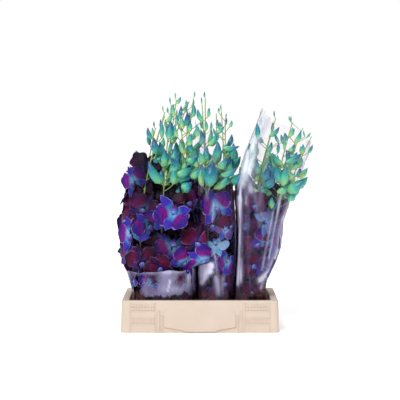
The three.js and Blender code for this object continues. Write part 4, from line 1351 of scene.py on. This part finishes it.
print("the haze comes in within", HAZE_STEP / MM, "mm of height")


# %% The three sleeves
def flat_size(mesh):
    """(width, height) of the film before it was rolled: the mean way round it, and straight up."""
    points = np.array([v.co for v in mesh.vertices])
    height = points[:, 2].max() - points[:, 2].min()
    area = sum(face.area for face in mesh.polygons)
    return round(area / height, 3), round(height, 3)


# How many rows of points, how deep the creases and how deep the crumples are, in millimetres. Then
# how hazy the film is, how streaked, and how high the haze starts, in metres.
FILM_SHAPES = {"left": (40, 1.5, 2.5), "middle": (72, 3.0, 2.0), "right": (84, 4.0, 4.0)}
FILM_LOOKS = {"left": (0.4, 0.2, 0.063), "middle": (0.02, 0.05, 0.0), "right": (0.03, 0.12, 0.0)}
for bunch, (rows, crease, crumple) in FILM_SHAPES.items():
    mesh = film_mesh(bunch, rows, crease, crumple)
    width, height = flat_size(mesh)
    look = film_look(f"film_{bunch}", *FILM_LOOKS[bunch])
    sleeve = piece(f"{bunch}_film", mesh, look, f"{bunch}_sleeve")
    print(bunch, "film, cut to", width, "by", height, "m")

# %% [markdown]
# ## The crate
#
# The crate is moulded in one piece: an outer skirt, a flat rim, and a tub that hangs from the rim.
# Two boxes with rounded upright edges make it, one for the skirt and one for the tub. Their tops are
# opened and the gap between the two rims is bridged. The sharp edges are softened, and then the
# open shell gets its thickness, so the underside is hollow as on the real one.

# %% The crate's shell
CRATE_LENGTH, CRATE_DEPTH, CRATE_HEIGHT = 285, 225, 57.5
CRATE_DRAFT = 2
CRATE_CORNER = 9
RIM = 13
WALL = 2.6
TUB_FLOOR = 3
TUB_LENGTH = CRATE_LENGTH - 2 * (RIM + CRATE_DRAFT)
TUB_DEPTH = CRATE_DEPTH - 2 * (RIM + CRATE_DRAFT)


def rounded_box(bm, length, depth, low, corner, growth):
    """A box with round upright edges from height low to the rim. Its top is larger by growth all round."""
    made = bmesh.ops.create_cube(bm, size=1)["verts"]
    bmesh.ops.scale(bm, vec=(length, depth, CRATE_HEIGHT - low), verts=made)
    bmesh.ops.translate(bm, vec=(0, 0, (CRATE_HEIGHT + low) / 2), verts=made)
    uprights = [e for e in {e for v in made for e in v.link_edges} if e.calc_length() < CRATE_HEIGHT + 1]
    bevelled = bmesh.ops.bevel(
        bm, geom=uprights, offset=corner, segments=6, profile=0.5, affect="EDGES", material=-1,
    )
    faces = {f for v in bevelled["verts"] for f in v.link_faces}
    for v in {v for f in faces for v in f.verts if v.co.z > CRATE_HEIGHT - 1}:
        v.co.x += growth * math.copysign(1, v.co.x)
        v.co.y += growth * math.copysign(1, v.co.y)
    return faces


def level(faces, z):
    """The faces that lie flat at height z."""
    return [f for f in faces if all(abs(v.co.z - z) < 0.01 for v in f.verts)]


def crate_shell():
    bm = bmesh.new()
    skirt = rounded_box(bm, CRATE_LENGTH, CRATE_DEPTH, 0, CRATE_CORNER, -CRATE_DRAFT)
    tub = rounded_box(
        bm, TUB_LENGTH - 2 * CRATE_DRAFT, TUB_DEPTH - 2 * CRATE_DRAFT, TUB_FLOOR, CRATE_CORNER - WALL,
        CRATE_DRAFT,
    )
    open_faces = level(skirt, 0) + level(skirt, CRATE_HEIGHT) + level(tub, CRATE_HEIGHT)
    bmesh.ops.delete(bm, geom=open_faces, context="FACES_ONLY")
    rims = [e for e in bm.edges if e.is_boundary and e.verts[0].co.z > 1]
    bmesh.ops.bridge_loops(bm, edges=rims)
    bmesh.ops.recalc_face_normals(bm, faces=bm.faces)
    if level(bm.faces, TUB_FLOOR)[0].normal.z < 0:
        bmesh.ops.reverse_faces(bm, faces=bm.faces)
    sharp = [e for e in bm.edges if len(e.link_faces) == 2 and e.calc_face_angle() > 1]
    bmesh.ops.bevel(bm, geom=sharp, offset=1.6, segments=3, profile=0.5, affect="EDGES", material=-1)
    bmesh.ops.solidify(bm, geom=bm.faces[:], thickness=WALL)
    return bm


print("shell faces:", len(crate_shell().faces))

# %% [markdown]
# The long sides carry what the mould adds: a wide grip that thickens towards the ground, ribs, and
# a framed panel of bars and small square studs at each end. Each is a block that stands on the
# sloping skirt, on a foot a little wider than its face. The foot carries a mark that paints shade, so
# the plastic is painted browner in such corners, under the grip's lower edge and between the studs.
# The far side repeats the near one, turned half round.

# %% Blocks on the skirt
FOOT = 0.9


def on_skirt(bm, x, z, width, height, proud, soft=0.5, shade=0.0):
    """A block with softened edges and a wider foot on the skirt: its corner x, z, and how proud it is."""
    made = bmesh.ops.create_cube(bm, size=1)["verts"]
    bmesh.ops.scale(bm, vec=(width, 1, height), verts=made)
    fronts = [v for v in made if v.co.y < 0]
    recess = bm.verts.layers.float["recess"]
    for v in made:
        spread = 0 if v in fronts else FOOT
        v.co.x += x + width / 2 + math.copysign(spread, v.co.x)
        v.co.z = max(0.1, v.co.z + z + height / 2 + math.copysign(spread, v.co.z))
        skirt = CRATE_DEPTH / 2 - CRATE_DRAFT * v.co.z / CRATE_HEIGHT
        # Painted shade: the foot is marked fully and the face gets the given shade, which paints them
        # browner.
        v[recess] = shade if v in fronts else 1
        v.co.y = -(skirt + proud) if v in fronts else -(skirt - 1)
    front = list({e for v in fronts for e in v.link_edges if all(w in fronts for w in e.verts)})
    soft = min(soft, 0.45 * height, 0.45 * width, 0.9 * proud)
    bmesh.ops.bevel(bm, geom=front, offset=soft, segments=2, profile=0.5, affect="EDGES", material=-1)


print("a block's foot is wider by", FOOT, "mm all round")


# %% The grip
GRIP = [(27, 0.8), (30, 3), (64, 9), (64, 38), (52, 50)]
GRIP_PROUD = 3.3


def grip(bm):
    """The wide hand grip: a plate with a stepped lower edge, thicker towards the ground."""
    outline = GRIP + [(-x, z) for x, z in reversed(GRIP)]
    skirt = CRATE_DEPTH / 2 - 1
    corners = [bm.verts.new((x, CRATE_DRAFT * z / CRATE_HEIGHT - skirt, z)) for x, z in outline]
    recess = bm.verts.layers.float["recess"]
    # Painted shadow: the plate's low corners are marked fully and its upper ones a little, so the plastic
    # under its lower edge is painted brown.
    for v in corners:
        v[recess] = 1 if v.co.z < 12 else 0.3
    plate = bm.faces.new(corners)
    plate.normal_update()
    if plate.normal.y > 0:
        plate.normal_flip()
    raised = bmesh.ops.extrude_face_region(bm, geom=[plate], use_keep_orig=True)["geom"]
    for v in [g for g in raised if isinstance(g, bmesh.types.BMVert)]:
        v.co.y -= 1.3 + GRIP_PROUD * max(0.0, 1 - v.co.z / 50) ** 1.3
        v.co.z += 1.8 * (v.co.z < 10)
        v[recess] = 0
    plate.normal_flip()
    front = [g for g in raised if isinstance(g, bmesh.types.BMEdge)]
    bmesh.ops.bevel(bm, geom=front, offset=0.8, segments=2, profile=0.5, affect="EDGES", material=-1)


print("corners of the grip:", 2 * len(GRIP))


# %% The ribs, bars and studs of one long side
# A rib is its x, width, height and how proud it is. A bar is the height it lies at, and the ground
# that studs stand on is a height and how high it is.
LOWEST = 0.4
RIBS = [(72.2, 2.8, 39, 1.8), (66.6, 2.4, 30, 1.6)]
PANEL = (79, 124)
PANEL_FRAME = (1.6, 53, 1.1)
BARS = [14.5, 25.5, 38]
STUD_GROUNDS = [(17.6, 6), (40.4, 11.6)]
STUD_ROWS = [18.6, 41.2, 47]
STUDS_IN_ROW = 8
STUD_PITCH = 5.4


def side_details():
    bm = bmesh.new()
    bm.verts.layers.float.new("recess")
    grip(bm)
    for side in (-1, 1):
        def block(x, z, width, height, proud, soft=0.5, shade=0.0):
            on_skirt(bm, side * x - (0 if side > 0 else width), z, width, height, proud, soft, shade)

        for x, width, height, proud in RIBS:
            block(x, LOWEST, width, height, proud)
        for x in PANEL:
            block(x, LOWEST, *PANEL_FRAME)
        inner, width = PANEL[0] + 2.5, PANEL[1] - PANEL[0] - 3.5
        for z in BARS:
            block(inner, z, width, 1.6, 0.9)
        # The ground between the studs gets a little painted shade.
        for z, height in STUD_GROUNDS:
            block(inner, z, width, height, 0.3, 0.1, 0.25)
        for z in STUD_ROWS:
            for k in range(STUDS_IN_ROW):
                block(PANEL[0] + 3.2 + STUD_PITCH * k, z, 3.9, 4.1, 1.1, 0.3)
    return bm


print("studs on one long side:", 2 * STUDS_IN_ROW * len(STUD_ROWS))


# %% Join shell and details
SIDES = (0, 180)


def crate_mesh():
    bm = crate_shell()
    bm.verts.layers.float.new("recess")
    side = as_mesh(side_details(), "side")
    for v in bm.verts:
        v.co.z = max(v.co.z, 0.0)
    for turn in SIDES:
        start = len(bm.verts)
        bm.from_mesh(side)
        bm.verts.ensure_lookup_table()
        turned = Matrix.Rotation(math.radians(turn), 4, "Z")
        bmesh.ops.transform(bm, matrix=turned, verts=bm.verts[start:])
    bmesh.ops.scale(bm, vec=(MM, MM, MM), verts=bm.verts)
    mesh = as_mesh(bm, "crate")
    mesh.shade_smooth()
    mesh.set_sharp_from_angle(angle=math.radians(30))
    return mesh


print("the details are added", len(SIDES), "times, turned by", SIDES)


# %% The crate's plastic
def plastic_look():
    look = Look("plastic", Roughness=0.48, Coat_Weight=0.05)
    place = look.place()
    x, y, up = (look.height(place, axis) for axis in "XYZ")
    clouds = look.noise(place, 18, 4)
    scuffs = look.noise(look.place((1, 1, 3)), 140, 5).between(0.62, 0.75)
    cream = look.blend(clouds.between(0.35, 0.7), paint(206, 188, 172), paint(211, 194, 179))
    cream = look.blend(scuffs * 0.2, cream, paint(192, 172, 153))
    # Painted shade: where the recess mark is, the cream is painted brown.
    cream = look.blend(look.attribute("recess").between(0.0, 0.9) * 0.8, cream, paint(176, 124, 84))
    # Painted shade: inside the tub the cream is painted orange-brown, darkest near its floor, for the shade
    # and the warm light bounced about in there.
    outside = []
    for across, tub in ((x, TUB_LENGTH), (y, TUB_DEPTH)):
        away = look.node("ShaderNodeMath", {"operation": "ABSOLUTE"}, {0: across})
        wall = MM * tub / 2
        outside.append(away.between(wall - 0.0013, wall - 0.0003))
    inside = (1 - outside[0]) * (1 - outside[1])
    tub_shade = look.blend(up.between(0.01, 0.058), paint(150, 84, 34), paint(206, 136, 72))
    look.feed("Base Color", look.blend(inside, cream, tub_shade))
    look.bump(look.noise(place, 600, 2), 0.08, 0.0003)
    return look.material


crate = piece("crate_shell", crate_mesh(), plastic_look(), "crate")
print("crate faces:", len(crate.data.polygons))

# %% [markdown]
# ## Floor and light
#
# Product pictures of flowers stand on white paper in soft light. A wide pale floor and a white
# world do the same. The world is seen as pure white but sheds less light than that, so that the
# folds between the petals stay dark, and the paper glows faintly to be as white as the world. Two
# far, soft lamps do the rest: the one in front from the left gives the petals their sheen, and the
# one overhead draws the crate's rim.

# %% The floor
def floor_look():
    look = Look("paper", Roughness=0.9, Emission_Color=(1, 1, 1, 1), Emission_Strength=0.22)
    grain = look.noise(look.place(), 300, 2)
    look.feed("Base Color", look.blend(grain, paint(246, 246, 247), paint(252, 252, 252)))
    return look.material


bm = bmesh.new()
bmesh.ops.create_grid(bm, x_segments=1, y_segments=1, size=6)
floor_mesh = as_mesh(bm, "floor")
floor = bpy.data.objects.new("floor", floor_mesh)
floor_mesh.materials.append(floor_look())
bpy.context.collection.objects.link(floor)
print("floor is", round(floor.dimensions.x), "m wide")

# %% The lamps
WHITE = (1, 1, 1, 1)
world = bpy.data.worlds.new("studio")
bpy.context.scene.world = world
world.use_nodes = True
sky = world.node_tree
seen = sky.nodes["Background"]
seen.inputs["Color"].default_value = WHITE
seen.inputs["Strength"].default_value = 1.0
shed = sky.nodes.new("ShaderNodeBackground")
shed.inputs["Color"].default_value = WHITE
shed.inputs["Strength"].default_value = 0.38
path = sky.nodes.new("ShaderNodeLightPath")
either = sky.nodes.new("ShaderNodeMixShader")
sky.links.new(path.outputs["Is Camera Ray"], either.inputs["Fac"])
sky.links.new(shed.outputs["Background"], either.inputs[1])
sky.links.new(seen.outputs["Background"], either.inputs[2])
sky.links.new(either.outputs["Shader"], sky.nodes["World Output"].inputs["Surface"])
bpy.context.scene.view_settings.view_transform = "Standard"


def lamp(name, azimuth, elevation, softness, strength):
    """A far, soft lamp that shines from one direction. Azimuth -90 is in front and -180 on the left."""
    light = bpy.data.lights.new(name, "SUN")
    light.angle = math.radians(softness)
    light.energy = strength
    made = bpy.data.objects.new(name, light)
    made.rotation_euler = direction(azimuth, elevation).to_track_quat("Z", "Y").to_euler()
    bpy.context.collection.objects.link(made)


lamp("front_lamp", -112, 42, 22, 2.0)
lamp("top_lamp", 60, 76, 50, 1.5)

# %% [markdown]
# ## Finish
#
# Last, the scene is brought up to date.

# %% Finish
bpy.context.view_layer.update()
